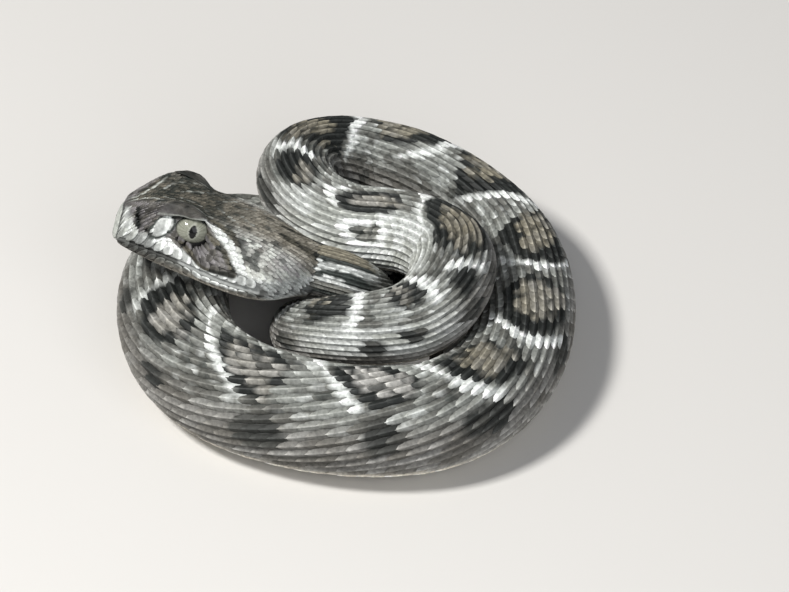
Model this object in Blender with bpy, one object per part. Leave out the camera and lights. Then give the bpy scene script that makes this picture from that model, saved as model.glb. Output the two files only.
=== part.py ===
"""Western diamondback rattlesnake, a young one, life size, coiled with its head on its own coil.

The body is one tube of changing girth laid along a route of way points. It is divided into short
lengths that meet face to face. The head is a loft through sections that follow a few rails, from
the crown down over the brow ridge, the cheek and the lips to the chin. Lengths below are in
millimetres and MM turns them into metres. The snake faces -X and +Z is up.
"""
import math

import bmesh
import bpy
import numpy as np
from mathutils import Matrix, Vector

MM = 0.001

# Sizes
GAP = 0.3                # clear space between parts that meet
FLOOR_REACH = 0.4        # belly skin closer to the floor than this lies flat on it
BACK_HEIGHT = 0.97       # height of the back over the spine, as a share of the girth radius
BELLY_DEPTH = 0.94       # depth of the belly under the spine, as a share of the girth radius
RING_SIDES = 22
RING_STEP = 2.4          # distance between the rings of the body
NECK_RING_STEP = 1.3     # the same on the neck, which turns tighter
ROUTE_DETAIL = 24        # points of the measured route between two way points
LEVEL_LIMIT = 0.6        # a stretch steeper than this has no upright back of its own
TWIST_WINDOW = 61        # route points over which the back's twist is evened out
SHARP_ANGLE = math.radians(50)

# Route of the spine behind the nape: (x, y, z)
ROUTE = [
    (0.7, -2.0, 11.2), (2.6, -1.5, 9.0), (3.1, -0.3, 6.5), (1.0, 0.6, 4.0), (-2.2, 0.0, 3.4),
    (-4.6, -2.5, 5.0), (-4.0, -7.0, 8.3), (-0.3, -9.3, 10.5), (3.8, -9.6, 11.1), (7.1, -8.8, 11.4),
    (9.9, -6.9, 12.3), (11.5, -3.1, 12.9), (11.2, 1.0, 12.6), (8.2, 4.9, 11.8), (4.4, 6.7, 11.4),
    (0.4, 7.3, 11.6), (-3.2, 9.0, 12.4), (-5.1, 11.8, 13.0), (-5.2, 15.0, 12.8), (-3.6, 18.0, 12.0),
    (-0.5, 19.8, 11.0), (3.0, 20.2, 10.0), (7.6, 19.0, 9.2), (13.1, 16.6, 7.1), (17.7, 11.8, 5.3),
    (19.6, 3.6, 5.2), (18.7, -6.0, 5.5), (15.1, -13.5, 5.6), (9.3, -17.9, 5.7), (2.0, -18.8, 5.8),
    (-5.1, -17.4, 5.8), (-11.9, -14.0, 5.8), (-16.6, -8.7, 5.9), (-18.6, -1.8, 5.8), (-18.3, 5.3, 5.5),
    (-15.9, 10.9, 5.1), (-11.3, 13.5, 4.5), (-5.5, 12.9, 4.0), (-0.7, 11.8, 4.0), (3.6, 10.2, 3.6),
    (7.0, 7.6, 3.1), (8.9, 3.8, 2.6), (9.6, -1.2, 2.0),
]

# Girth radius along the spine: (distance from the nape, radius)
GIRTH = [
    (0, 2.85), (10, 2.95), (18, 3.2), (26, 3.6), (34, 4.05), (42, 4.45), (50, 4.7),
    (60, 4.6), (75, 4.4), (90, 4.75), (105, 5.1), (120, 5.5), (135, 5.95), (150, 6.15),
    (166, 6.2), (180, 6.0), (190, 5.3), (198, 4.6), (206, 3.9), (213, 3.2), (219, 2.4),
    (224, 1.6),
]

# Where one length of the body ends and the next begins: (name, distance from the nape)
LENGTHS = [
    ("neck", 22.0), ("body_1", 38.0), ("body_2", 64.0), ("body_3", 90.0), ("body_4", 118.0),
    ("body_5", 146.0), ("body_6", 174.0), ("body_7", 198.0), ("body_8", 218.0), ("tail", None),
]

# Head
SNOUT = (-24.75, 0.85, 17.1)
NAPE = (-3.45, -1.4, 12.5)
HEAD_ROLL = math.radians(18.5)
SNOUT_STATIONS = (0.0, 0.12, 0.3, 0.6)
HEAD_STATION_STEP = 0.5

# Rails of the head: (distance behind the snout, half width, height over the head's axis)
CROWN = [(0.0, 0.0, 0.9), (0.4, 0.0, 2.4), (1.0, 0.0, 3.0), (3.0, 0.0, 4.2), (5.0, 0.0, 4.8),
         (8.0, 0.0, 4.9), (12.0, 0.0, 4.7), (15.6, 0.0, 4.2), (17.6, 0.0, 3.7), (19.6, 0.0, 3.2),
         (21.9, 0.0, 2.85)]
BROW = [(0.0, 0.2, 0.7), (0.4, 1.5, 2.2), (1.0, 2.3, 3.0), (3.0, 3.6, 4.5), (4.4, 4.4, 5.3),
        (6.0, 4.9, 5.7), (7.4, 5.1, 5.5), (8.7, 5.05, 5.0), (10.0, 4.85, 4.4), (12.8, 5.1, 4.1),
        (15.6, 5.0, 3.5), (17.6, 4.5, 3.0), (19.6, 3.7, 2.4), (21.9, 2.05, 2.05)]
FLANK = [(0.0, 0.3, 0.4), (0.4, 1.5, 1.5), (1.0, 2.2, 1.8), (3.0, 3.2, 2.9), (4.5, 3.8, 3.8),
         (6.5, 4.3, 4.2), (8.0, 4.5, 4.1), (9.8, 4.9, 3.6), (12.7, 6.1, 2.8),
         (15.6, 6.6, 2.1), (17.6, 6.2, 1.8), (19.5, 4.9, 1.5), (21.9, 2.75, 0.9)]
CHEEK = [(0.0, 0.4, 0.0), (0.4, 1.6, 0.3), (1.0, 2.4, 0.5), (3.0, 3.5, 0.9), (5.0, 4.25, 1.1),
         (8.0, 5.0, 1.1), (10.0, 5.6, 0.9), (11.8, 6.3, 0.7), (13.7, 7.0, 0.4),
         (15.6, 7.3, 0.2), (17.1, 7.2, 0.1), (18.6, 6.3, 0.1), (19.8, 5.0, 0.1),
         (20.8, 3.7, 0.0), (21.9, 2.9, 0.0)]
LIP = [(0.0, 0.4, -0.5), (0.4, 1.6, -0.5), (1.0, 2.4, -0.5), (3.0, 3.5, -0.4), (5.0, 4.3, -0.4),
       (8.0, 5.1, -0.6), (10.0, 5.7, -0.8), (11.8, 6.3, -1.0), (13.7, 6.9, -1.0),
       (15.6, 7.1, -1.0), (17.1, 6.9, -1.1), (18.6, 6.0, -1.1), (19.8, 4.6, -1.0),
       (20.8, 3.4, -1.0), (21.9, 2.7, -1.0)]
CHIN = [(0.0, 0.0, -1.1), (0.5, 0.0, -1.6), (2.0, 0.0, -2.0), (5.0, 0.0, -2.5), (8.0, 0.0, -2.9),
        (12.0, 0.0, -3.2), (15.6, 0.0, -3.3), (18.6, 0.0, -2.9), (21.9, 0.0, -2.75)]
MOUTH_END = (15.2, 17.1)  # the line of the mouth runs out between these distances
MOUTH_GROOVE = 0.3       # depth and height of the line of the mouth
LOWER_LIP_INSET = 0.1
LOWER_LIP_DROP = 0.6
JAW_EDGE_WIDTH = 0.72    # half width of the flat chin, as a share of the lip's
JAW_EDGE_DEPTH = 0.8     # how far down from the lip to the chin the jaw's edge lies
RAIL_COLUMNS = [5, 3, 4, 3, 1, 1, 3, 4]  # columns between one rail and the next, crown to chin

EYE_RADIUS = 1.75
EYE_AT = (8.0, 3.7, 2.85)         # behind the snout, to the side, over the axis
NOSTRIL_AT = (2.2, 3.0, 2.4)
NOSTRIL_SIZE = (0.35, 0.5, 0.5)
PIT_AT = (3.5, 3.85, 1.5)
PIT_SIZE = (0.5, 0.7, 0.45)

# Rattle: one button and the first loose segment
RATTLE_PROFILE = [(0.0, 1.25), (0.5, 1.5), (1.0, 1.25), (1.4, 1.0), (1.9, 1.25), (2.6, 1.3),
                  (3.3, 1.0), (3.7, 0.6)]
RATTLE_FLATTENING = 0.7  # width of the rattle, as a share of its height
RATTLE_SIDES = 20


def clear_scene():
    """Remove the objects that Blender starts with."""
    for obj in list(bpy.data.objects):
        bpy.data.objects.remove(obj, do_unlink=True)


def new_collection(name):
    """Return a new collection under the scene's root."""
    collection = bpy.data.collections.new(name)
    bpy.context.scene.collection.children.link(collection)
    return collection


def new_material(name, colour, roughness):
    """Return a plain Principled material."""
    material = bpy.data.materials.new(name)
    material.use_nodes = True
    shader = material.node_tree.nodes["Principled BSDF"]
    shader.inputs["Base Color"].default_value = (*colour, 1.0)
    shader.inputs["Roughness"].default_value = roughness
    shader.inputs["Metallic"].default_value = 0.0
    return material


def between(before, start, end, after, count):
    """`count` rows of a Catmull-Rom curve from `start` on, each given as a row of points."""
    before, start, end, after = [row[:, None, :] for row in (before, start, end, after)]
    t = (np.arange(count) / count)[None, :, None]
    return 0.5 * (2 * start + (end - before) * t
                  + (2 * before - 5 * start + 4 * end - after) * t ** 2
                  + (after - before + 3 * start - 3 * end) * t ** 3)


def spline(values, rows_per_span):
    """Rows of a Catmull-Rom curve through `values`, with `rows_per_span` rows between two."""
    values = np.asarray(values, dtype=float)
    padded = np.vstack([2 * values[0] - values[1], values, 2 * values[-1] - values[-2]])
    rows = between(padded[:-3], padded[1:-2], padded[2:-1], padded[3:], rows_per_span)
    return np.vstack([rows.reshape(-1, values.shape[1]), values[-1:]])


def read_rail(rail, stations):
    """Half width and height of a rail at each station, read from a smooth curve through it."""
    dense = spline(rail, 12)
    dense = dense[np.argsort(dense[:, 0], kind="stable")]
    return np.stack([np.interp(stations, dense[:, 0], dense[:, k]) for k in (1, 2)], axis=1)


def measured_route():
    """The route as close points, with the distance of each from the nape.

    It leaves the nape straight along the head's axis, so that the neck meets the head squarely.
    """
    nape = np.array(NAPE)
    axis = unit(nape - np.array(SNOUT))
    straight = [nape + reach * axis for reach in (0.0, 1.0, 2.0)]
    dense = spline([*straight, *ROUTE], ROUTE_DETAIL)
    steps = np.linalg.norm(np.diff(dense, axis=0), axis=1)
    return dense, np.concatenate([[0.0], np.cumsum(steps)])


def girth(distance):
    """Girth radius at a distance from the nape, from a smooth curve through GIRTH."""
    dense = spline(GIRTH, 8)
    return np.interp(distance, dense[:, 0], dense[:, 1])


def unit(rows):
    """Each row scaled to length one."""
    return rows / np.linalg.norm(rows, axis=-1, keepdims=True)


def dorsal_frames(points):
    """Tangent and back direction at each point, turning evenly where the route stands upright.

    The back is first carried along without twist. The twist that would bring it upright is then
    measured wherever the route lies fairly level, joined across the steep stretches and smoothed.
    """
    tangents = unit(np.gradient(points, axis=0))
    up = np.array([0.0, 0.0, 1.0])
    carried = np.zeros_like(points)
    carried[0] = unit(up - up.dot(tangents[0]) * tangents[0])
    for k in range(1, len(points)):
        back = carried[k - 1] - carried[k - 1].dot(tangents[k]) * tangents[k]
        carried[k] = unit(back)
    side = np.cross(tangents, carried)
    wanted = up - tangents * tangents[:, 2:3]
    twist = np.arctan2((wanted * side).sum(1), (wanted * carried).sum(1))
    level = np.abs(tangents[:, 2]) < LEVEL_LIMIT
    index = np.arange(len(points))
    twist = np.interp(index, index[level], np.unwrap(twist[level]))
    window = np.ones(TWIST_WINDOW) / TWIST_WINDOW
    padded = np.pad(twist, TWIST_WINDOW // 2, mode="edge")
    twist = np.convolve(padded, window, mode="valid")[:len(points)]
    backs = carried * np.cos(twist)[:, None] + side * np.sin(twist)[:, None]
    return tangents, backs


def rows_at(values, distance, where):
    """Rows of `values`, known at `distance`, read at each place in `where`."""
    return np.stack([np.interp(where, distance, column) for column in values.T], axis=1)


def body_rings(points, distance, tangents, backs, start, end, step):
    """Rings of the body between two distances, each a rounded section with a flatter belly."""
    count = max(2, int(round((end - start) / step)) + 1)
    places = np.linspace(start, end, count)
    centres = rows_at(points, distance, places)
    along = unit(rows_at(tangents, distance, places))
    back = rows_at(backs, distance, places)
    back = unit(back - along * (back * along).sum(1, keepdims=True))
    side = np.cross(along, back)
    radius = girth(places)[:, None, None]
    angle = np.arange(RING_SIDES) * 2 * math.pi / RING_SIDES
    rise = np.cos(angle) * np.where(np.cos(angle) > 0, BACK_HEIGHT, BELLY_DEPTH)
    rings = (centres[:, None, :]
             + radius * np.sin(angle)[None, :, None] * side[:, None, :]
             + radius * rise[None, :, None] * back[:, None, :])
    height = rings[:, :, 2]
    rings[:, :, 2] = np.where(height < FLOOR_REACH, 0.0, height)
    return rings


def loft(name, rings, material, collection):
    """A closed object over rings of equal count, with a flat cap at each end."""
    count, sides = rings.shape[:2]
    mesh = bpy.data.meshes.new(name)
    faces = []
    for k in range(count - 1):
        for j in range(sides):
            right = (j + 1) % sides
            faces.append((k * sides + j, k * sides + right,
                          (k + 1) * sides + right, (k + 1) * sides + j))
    faces.append(tuple(reversed(range(sides))))
    faces.append(tuple(range((count - 1) * sides, count * sides)))
    mesh.from_pydata((rings.reshape(-1, 3) * MM).tolist(), [], faces)
    work = bmesh.new()
    work.from_mesh(mesh)
    bmesh.ops.recalc_face_normals(work, faces=work.faces)
    work.to_mesh(mesh)
    work.free()
    mesh.materials.append(material)
    mesh.shade_smooth()
    mesh.set_sharp_from_angle(angle=SHARP_ANGLE)
    obj = bpy.data.objects.new(name, mesh)
    collection.objects.link(obj)
    return obj


def head_frame():
    """Matrix of the head: X runs back from the snout, Y to the right side, Z out of the crown."""
    back = (Vector(NAPE) - Vector(SNOUT)).normalized()
    level_right = Vector((0, 0, 1)).cross(back).normalized()
    level_crown = back.cross(level_right)
    right = level_right * math.cos(HEAD_ROLL) - level_crown * math.sin(HEAD_ROLL)
    columns = Matrix((back, right, back.cross(right))).transposed()
    return Matrix.Translation(Vector(SNOUT) * MM) @ columns.to_4x4()


def head_rings():
    """Sections of the head in its own frame, one at each station behind the snout.

    Each section runs from the crown down the right side through the rails to the chin, as a smooth
    curve, and back up the left side as its mirror image.
    """
    length = (Vector(NAPE) - Vector(SNOUT)).length
    stations = np.concatenate([SNOUT_STATIONS, np.arange(1.0, length - 0.2, HEAD_STATION_STEP),
                               [length]])
    crown, brow, flank, cheek, lip, chin = [read_rail(rail, stations)
                                            for rail in (CROWN, BROW, FLANK, CHEEK, LIP, CHIN)]
    fade = np.interp(stations, (0.0, 1.0, *MOUTH_END), (0.0, 1.0, 1.0, 0.0))
    groove = lip - np.stack([MOUTH_GROOVE * fade, np.full_like(stations, MOUTH_GROOVE)], axis=1)
    lower_lip = lip - np.stack([LOWER_LIP_INSET * fade,
                                np.full_like(stations, LOWER_LIP_DROP)], axis=1)
    jaw_edge = np.stack([lip[:, 0] * JAW_EDGE_WIDTH,
                         lower_lip[:, 1] + JAW_EDGE_DEPTH * (chin - lower_lip)[:, 1]], axis=1)
    mirror = (-1, 1)
    rails = [brow * mirror, crown, brow, flank, cheek, lip, groove, lower_lip, jaw_edge, chin,
             jaw_edge * mirror]
    spans = [between(*rails[k:k + 4], count) for k, count in enumerate(RAIL_COLUMNS)]
    right_side = np.concatenate([*spans, chin[:, None, :]], axis=1)
    outline = np.concatenate([right_side, right_side[:, -2:0:-1] * mirror], axis=1)
    along = np.broadcast_to(stations[:, None, None], (*outline.shape[:2], 1))
    return np.concatenate([along, outline], axis=2)


def ball(name, radii, matrix, collection, segments=20, rings=12):
    """A sphere stretched to three radii in millimetres, placed by a matrix."""
    bpy.ops.mesh.primitive_uv_sphere_add(segments=segments, ring_count=rings, radius=MM)
    obj = bpy.context.object
    obj.name = name
    obj.data.transform(Matrix.Diagonal((*radii, 1.0)))
    obj.matrix_world = matrix
    for owner in list(obj.users_collection):
        owner.objects.unlink(obj)
    collection.objects.link(obj)
    return obj


def cut(obj, cutter):
    """Cut one closed shape out of an object."""
    modifier = obj.modifiers.new(cutter.name, "BOOLEAN")
    modifier.operation = "DIFFERENCE"
    modifier.object = cutter
    modifier.solver = "EXACT"
    cutter.hide_render = True
    cutter.display_type = "WIRE"


def make_head(materials, parts, cutters):
    """The head with its eye sockets, nostrils and heat pits, and the two eyes."""
    frame = head_frame()
    head = loft("head", head_rings(), materials["skin"], parts)
    head.matrix_world = frame
    for side, label in ((-1, "left"), (1, "right")):
        eye_place, nostril_place, pit_place = [
            frame @ Matrix.Translation(Vector((back, side * out, up)) * MM)
            for back, out, up in (EYE_AT, NOSTRIL_AT, PIT_AT)]
        socket_radii = (EYE_RADIUS + GAP,) * 3
        cut(head, ball(f"socket_{label}", socket_radii, eye_place, cutters))
        cut(head, ball(f"nostril_cut_{label}", NOSTRIL_SIZE, nostril_place, cutters, 12, 8))
        cut(head, ball(f"pit_cut_{label}", PIT_SIZE, pit_place, cutters, 12, 8))
        eye = ball(f"eye_{label}", (EYE_RADIUS,) * 3, eye_place, parts)
        eye.data.materials.append(materials["eye"])
        eye.data.shade_smooth()


def make_body(materials, parts):
    """The neck, the lengths of the body and the tail, each a tube with a gap to the next."""
    points, distance = measured_route()
    tangents, backs = dorsal_frames(points)
    start = GAP
    for name, end in LENGTHS:
        last = end is None
        end = distance[-1] if last else end
        step = NECK_RING_STEP if name == "neck" else RING_STEP
        stop = end if last else end - GAP / 2
        rings = body_rings(points, distance, tangents, backs, start, stop, step)
        loft(name, rings, materials["tail" if name == "tail" else "skin"], parts)
        start = end + GAP / 2
    return points[-1], tangents[-1], backs[-1]


def make_rattle(tip, direction, back, material, collection):
    """The rattle: a turned button and segment, flattened from side to side."""
    angle = np.arange(RATTLE_SIDES) * 2 * math.pi / RATTLE_SIDES
    side = np.cross(direction, back)
    reach, radius = np.array(spline(RATTLE_PROFILE, 3)).T
    centres = tip + (reach[:, None] + GAP) * direction
    rings = (centres[:, None, :]
             + (radius[:, None] * np.sin(angle) * RATTLE_FLATTENING)[:, :, None] * side
             + (radius[:, None] * np.cos(angle))[:, :, None] * back)
    loft("rattle", rings, material, collection)


def main():
    clear_scene()
    parts = new_collection("western_diamondback_rattlesnake")
    cutters = new_collection("cutters")
    materials = {
        "skin": new_material("skin", (0.27, 0.26, 0.24), 0.6),
        "tail": new_material("tail_skin", (0.45, 0.44, 0.42), 0.6),
        "eye": new_material("eye", (0.32, 0.31, 0.24), 0.1),
        "rattle": new_material("rattle_horn", (0.33, 0.24, 0.14), 0.45),
    }
    make_head(materials, parts, cutters)
    tip, direction, back = make_body(materials, parts)
    make_rattle(tip, direction, back, materials["rattle"], parts)


main()
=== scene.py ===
"""Young western diamondback rattlesnake, coiled, with its head resting on its own coil.

The frame gives the solids. Here one skin covers head and body without a seam, and every scale over it
is a small closed shell of its own. Two surfaces carry all of it. The body is a tube along the spine,
read by distance from the nape and angle round the body (0 is the middle of the back, plus is the
snake's left). The head is a loft, read by station, which is the distance behind the snout, and by the
way along the skin from the crown (minus is the left). Lengths are in millimetres until MM turns them
into metres, and angles are in degrees.
"""
import math

import bpy
import numpy as np
from mathutils import Matrix


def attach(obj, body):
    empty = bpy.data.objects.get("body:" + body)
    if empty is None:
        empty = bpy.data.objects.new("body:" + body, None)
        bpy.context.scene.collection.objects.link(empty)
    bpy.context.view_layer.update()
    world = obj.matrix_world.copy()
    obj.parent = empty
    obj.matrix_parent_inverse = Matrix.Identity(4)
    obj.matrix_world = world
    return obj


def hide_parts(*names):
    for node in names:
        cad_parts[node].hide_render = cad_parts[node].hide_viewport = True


MM = 0.001
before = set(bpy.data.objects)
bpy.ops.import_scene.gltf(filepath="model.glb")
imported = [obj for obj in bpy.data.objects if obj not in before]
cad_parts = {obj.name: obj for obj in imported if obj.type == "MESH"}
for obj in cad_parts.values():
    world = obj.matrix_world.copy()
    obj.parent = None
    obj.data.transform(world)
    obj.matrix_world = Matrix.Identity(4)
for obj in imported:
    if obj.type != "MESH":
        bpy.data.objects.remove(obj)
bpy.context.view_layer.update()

# Sizes that the solids share
BACK_HEIGHT = 0.97       # height of the back over the spine, as a share of the girth radius
BELLY_DEPTH = 0.94       # depth of the belly under the spine, as a share of the girth radius
NECK_LEAD = (0.0, 1.0, 2.0)   # the spine leaves the nape in the head's line, through these distances
ROUTE_DETAIL = 24        # steps of the spine from one point of the route to the next
PROFILE_DETAIL = 8       # steps from one row of a profile to the next
LEVEL_LIMIT = 0.6        # the route counts as level where it climbs less than this for each millimetre
TWIST_WINDOW = 61        # steps over which the turn of the back is evened out
# Route of the spine behind the nape: (x, y, z)
ROUTE = [
    (0.7, -2.0, 11.2), (2.6, -1.5, 9.0), (3.1, -0.3, 6.5), (1.0, 0.6, 4.0), (-2.2, 0.0, 3.4),
    (-4.6, -2.5, 5.0), (-4.0, -7.0, 8.3), (-0.3, -9.3, 10.5), (3.8, -9.6, 11.1), (7.1, -8.8, 11.4),
    (9.9, -6.9, 12.3), (11.5, -3.1, 12.9), (11.2, 1.0, 12.6), (8.2, 4.9, 11.8), (4.4, 6.7, 11.4),
    (0.4, 7.3, 11.6), (-3.2, 9.0, 12.4), (-5.1, 11.8, 13.0), (-5.2, 15.0, 12.8), (-3.6, 18.0, 12.0),
    (-0.5, 19.8, 11.0), (3.0, 20.2, 10.0), (7.6, 19.0, 9.2), (13.1, 16.6, 7.1), (17.7, 11.8, 5.3),
    (19.6, 3.6, 5.2), (18.7, -6.0, 5.5), (15.1, -13.5, 5.6), (9.3, -17.9, 5.7), (2.0, -18.8, 5.8),
    (-5.1, -17.4, 5.8), (-11.9, -14.0, 5.8), (-16.6, -8.7, 5.9), (-18.6, -1.8, 5.8), (-18.3, 5.3, 5.5),
    (-15.9, 10.9, 5.1), (-11.3, 13.5, 4.5), (-5.5, 12.9, 4.0), (-0.7, 11.8, 4.0), (3.6, 10.2, 3.6),
    (7.0, 7.6, 3.1), (8.9, 3.8, 2.6), (9.6, -1.2, 2.0),
]
# Girth radius along the spine: (distance from the nape, radius)
GIRTH = [
    (0, 2.85), (10, 2.95), (18, 3.2), (26, 3.6), (34, 4.05), (42, 4.45), (50, 4.7),
    (60, 4.6), (75, 4.4), (90, 4.75), (105, 5.1), (120, 5.5), (135, 5.95), (150, 6.15),
    (166, 6.2), (180, 6.0), (190, 5.3), (198, 4.6), (206, 3.9), (213, 3.2), (219, 2.4),
    (224, 1.6),
]
SNOUT = (-24.75, 0.85, 17.1)
NAPE = (-3.45, -1.4, 12.5)
HEAD_ROLL = math.radians(18.5)
# Rails of the head: (station, half width, height over the head's axis)
CROWN = [(0.0, 0.0, 0.9), (0.4, 0.0, 2.4), (1.0, 0.0, 3.0), (3.0, 0.0, 4.2), (5.0, 0.0, 4.8),
         (8.0, 0.0, 4.9), (12.0, 0.0, 4.7), (15.6, 0.0, 4.2), (17.6, 0.0, 3.7), (19.6, 0.0, 3.2),
         (21.9, 0.0, 2.85)]
BROW = [(0.0, 0.2, 0.7), (0.4, 1.5, 2.2), (1.0, 2.3, 3.0), (3.0, 3.6, 4.5), (4.4, 4.4, 5.3),
        (6.0, 4.9, 5.7), (7.4, 5.1, 5.5), (8.7, 5.05, 5.0), (10.0, 4.85, 4.4), (12.8, 5.1, 4.1),
        (15.6, 5.0, 3.5), (17.6, 4.5, 3.0), (19.6, 3.7, 2.4), (21.9, 2.05, 2.05)]
FLANK = [(0.0, 0.3, 0.4), (0.4, 1.5, 1.5), (1.0, 2.2, 1.8), (3.0, 3.2, 2.9), (4.5, 3.8, 3.8),
         (6.5, 4.3, 4.2), (8.0, 4.5, 4.1), (9.8, 4.9, 3.6), (12.7, 6.1, 2.8),
         (15.6, 6.6, 2.1), (17.6, 6.2, 1.8), (19.5, 4.9, 1.5), (21.9, 2.75, 0.9)]
CHEEK = [(0.0, 0.4, 0.0), (0.4, 1.6, 0.3), (1.0, 2.4, 0.5), (3.0, 3.5, 0.9), (5.0, 4.25, 1.1),
         (8.0, 5.0, 1.1), (10.0, 5.6, 0.9), (11.8, 6.3, 0.7), (13.7, 7.0, 0.4),
         (15.6, 7.3, 0.2), (17.1, 7.2, 0.1), (18.6, 6.3, 0.1), (19.8, 5.0, 0.1),
         (20.8, 3.7, 0.0), (21.9, 2.9, 0.0)]
LIP = [(0.0, 0.4, -0.5), (0.4, 1.6, -0.5), (1.0, 2.4, -0.5), (3.0, 3.5, -0.4), (5.0, 4.3, -0.4),
       (8.0, 5.1, -0.6), (10.0, 5.7, -0.8), (11.8, 6.3, -1.0), (13.7, 6.9, -1.0),
       (15.6, 7.1, -1.0), (17.1, 6.9, -1.1), (18.6, 6.0, -1.1), (19.8, 4.6, -1.0),
       (20.8, 3.4, -1.0), (21.9, 2.7, -1.0)]
CHIN = [(0.0, 0.0, -1.1), (0.5, 0.0, -1.6), (2.0, 0.0, -2.0), (5.0, 0.0, -2.5), (8.0, 0.0, -2.9),
        (12.0, 0.0, -3.2), (15.6, 0.0, -3.3), (18.6, 0.0, -2.9), (21.9, 0.0, -2.75)]
RAIL_DETAIL = 12         # steps from one row of a rail to the next
MOUTH_START = 1.0        # station where the groove of the mouth has its full depth
MOUTH_END = (15.2, 17.1)      # stations between which it fades out
MOUTH_GROOVE = 0.3
LOWER_LIP_INSET = 0.1
LOWER_LIP_DROP = 0.6
JAW_EDGE_WIDTH = 0.72    # half width of the jaw's lower edge, as a share of the lip's
JAW_EDGE_DEPTH = 0.8     # how far that edge lies down from the lower lip to the chin, as a share
# Places in the head's frame: station, way out from the middle, height over the axis
EYE_AT = (8.0, 3.7, 2.85)
NOSTRIL_AT = (2.2, 3.0, 2.4)
PIT_AT = (3.5, 3.85, 1.5)
EYE_RADIUS = 1.75
# The rattle turned round the tail's line: (distance behind the tail's end, radius)
RATTLE_PROFILE = [(0.0, 1.25), (0.5, 1.5), (1.0, 1.25), (1.4, 1.0), (1.9, 1.25), (2.6, 1.3),
                  (3.3, 1.0), (3.7, 0.6)]
RATTLE_FLATTENING = 0.7
GAP = 0.3                # gap between the tail and the rattle

# Skin and scales
RAIL_COLUMNS = [14, 10, 12, 10, 4, 4, 10, 12]   # skin columns from one rail of the head to the next
HEAD_RINGS = 150
SNOUT_RINGS = 20         # closer rings over the rounding of the snout
SNOUT_ROUNDING = 0.9     # station where that rounding ends
BODY_RING_STEP = 0.7
SKIN_DEPTH = 0.066       # depth of the skin under the scales' tips, as a share of the girth radius
# The same depth on the head in millimetres, at these stations and at the nape
HEAD_SKIN_AT = (0, 1.5, 17)
HEAD_SKIN_DEPTH = (0.1, 0.16, 0.16, 0.19)
ROW_ANGLE = 10.8         # degrees from one row of scales to the next
SCALE_PITCH = 0.285      # distance of the scales in a row, as a share of the girth radius
SCALE_LENGTH = 1.75      # length of a scale, as a share of the pitch: each overlaps the next
SCALE_WIDTH = 0.66       # half width of a scale, as a share of the distance of the rows
SCALE_LIFT = 0.058       # height of a scale, as a share of the girth radius
ROOT_BACK = 0.45         # how far a scale's root lies ahead of its lattice point, in scale lengths
NAPE_TURN_LENGTH = 9.0   # distance over which the rows take up the turn of the rolled head
NAPE_BLEND = 0.2         # the head's loft goes over into the body's tube this close to the nape
BELLY_EDGE = 133.0       # degrees from the back where the belly plates begin
FLOOR_SKIN = 0.12        # the skin never comes closer to the floor than this
PATCH_SIZE = 0.003       # width on the bake map of the patch of one scale
MAP_MARGIN = 0.02        # margin of the bake map before the first patch

rng = np.random.default_rng(7)


# Curves
def between(before, start, end, after, count):
    """`count` rows of a Catmull-Rom curve from `start` on, each given as a row of points."""
    before, start, end, after = [row[:, None, :] for row in (before, start, end, after)]
    t = (np.arange(count) / count)[None, :, None]
    return 0.5 * (2 * start + (end - before) * t
                  + (2 * before - 5 * start + 4 * end - after) * t ** 2
                  + (after - before + 3 * start - 3 * end) * t ** 3)


def spline(values, rows_per_span):
    """Rows of a Catmull-Rom curve through `values`, with `rows_per_span` rows between two."""
    values = np.asarray(values, dtype=float)
    padded = np.vstack([2 * values[0] - values[1], values, 2 * values[-1] - values[-2]])
    rows = between(padded[:-3], padded[1:-2], padded[2:-1], padded[3:], rows_per_span)
    return np.vstack([rows.reshape(-1, values.shape[1]), values[-1:]])


def unit(rows):
    """Each vector scaled to length one."""
    return rows / np.maximum(np.linalg.norm(rows, axis=-1, keepdims=True), 1e-9)


def smooth_step(low, high, x):
    """0 below `low`, 1 above `high`, and an even slope 3t^2 - 2t^3 between them."""
    t = np.clip((x - low) / (high - low), 0.0, 1.0)
    return t * t * (3 - 2 * t)


def window(begin, full, fade, gone, x):
    """0 up to `begin`, an even slope to 1 at `full`, 1 up to `fade` and an even slope to 0 at `gone`."""
    return smooth_step(begin, full, x) * (1 - smooth_step(fade, gone, x))


def read_table(table, place):
    """Rows of a table at fractional indices `place`, by straight interpolation."""
    place = np.clip(place, 0, len(table) - 1.0001)
    low = place.astype(int)
    share = (place - low)[..., None]
    return table[low] * (1 - share) + table[low + 1] * share


def read_grid(grid, row, column):
    """Values of a two-way table at fractional rows and columns, by bilinear interpolation."""
    row = np.clip(row, 0, grid.shape[0] - 1.0001)
    column = np.clip(column, 0, grid.shape[1] - 1.0001)
    i, j = row.astype(int), column.astype(int)
    p, q = (row - i)[..., None], (column - j)[..., None]
    return ((grid[i, j] * (1 - q) + grid[i, j + 1] * q) * (1 - p)
            + (grid[i + 1, j] * (1 - q) + grid[i + 1, j + 1] * q) * p)


def counted_steps(places, pitch):
    """How many pitches fit between the first place and each place: the sum of step / pitch."""
    step = places[1] - places[0]
    return np.concatenate([[0.0], np.cumsum(step / pitch)[:-1]])


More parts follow.
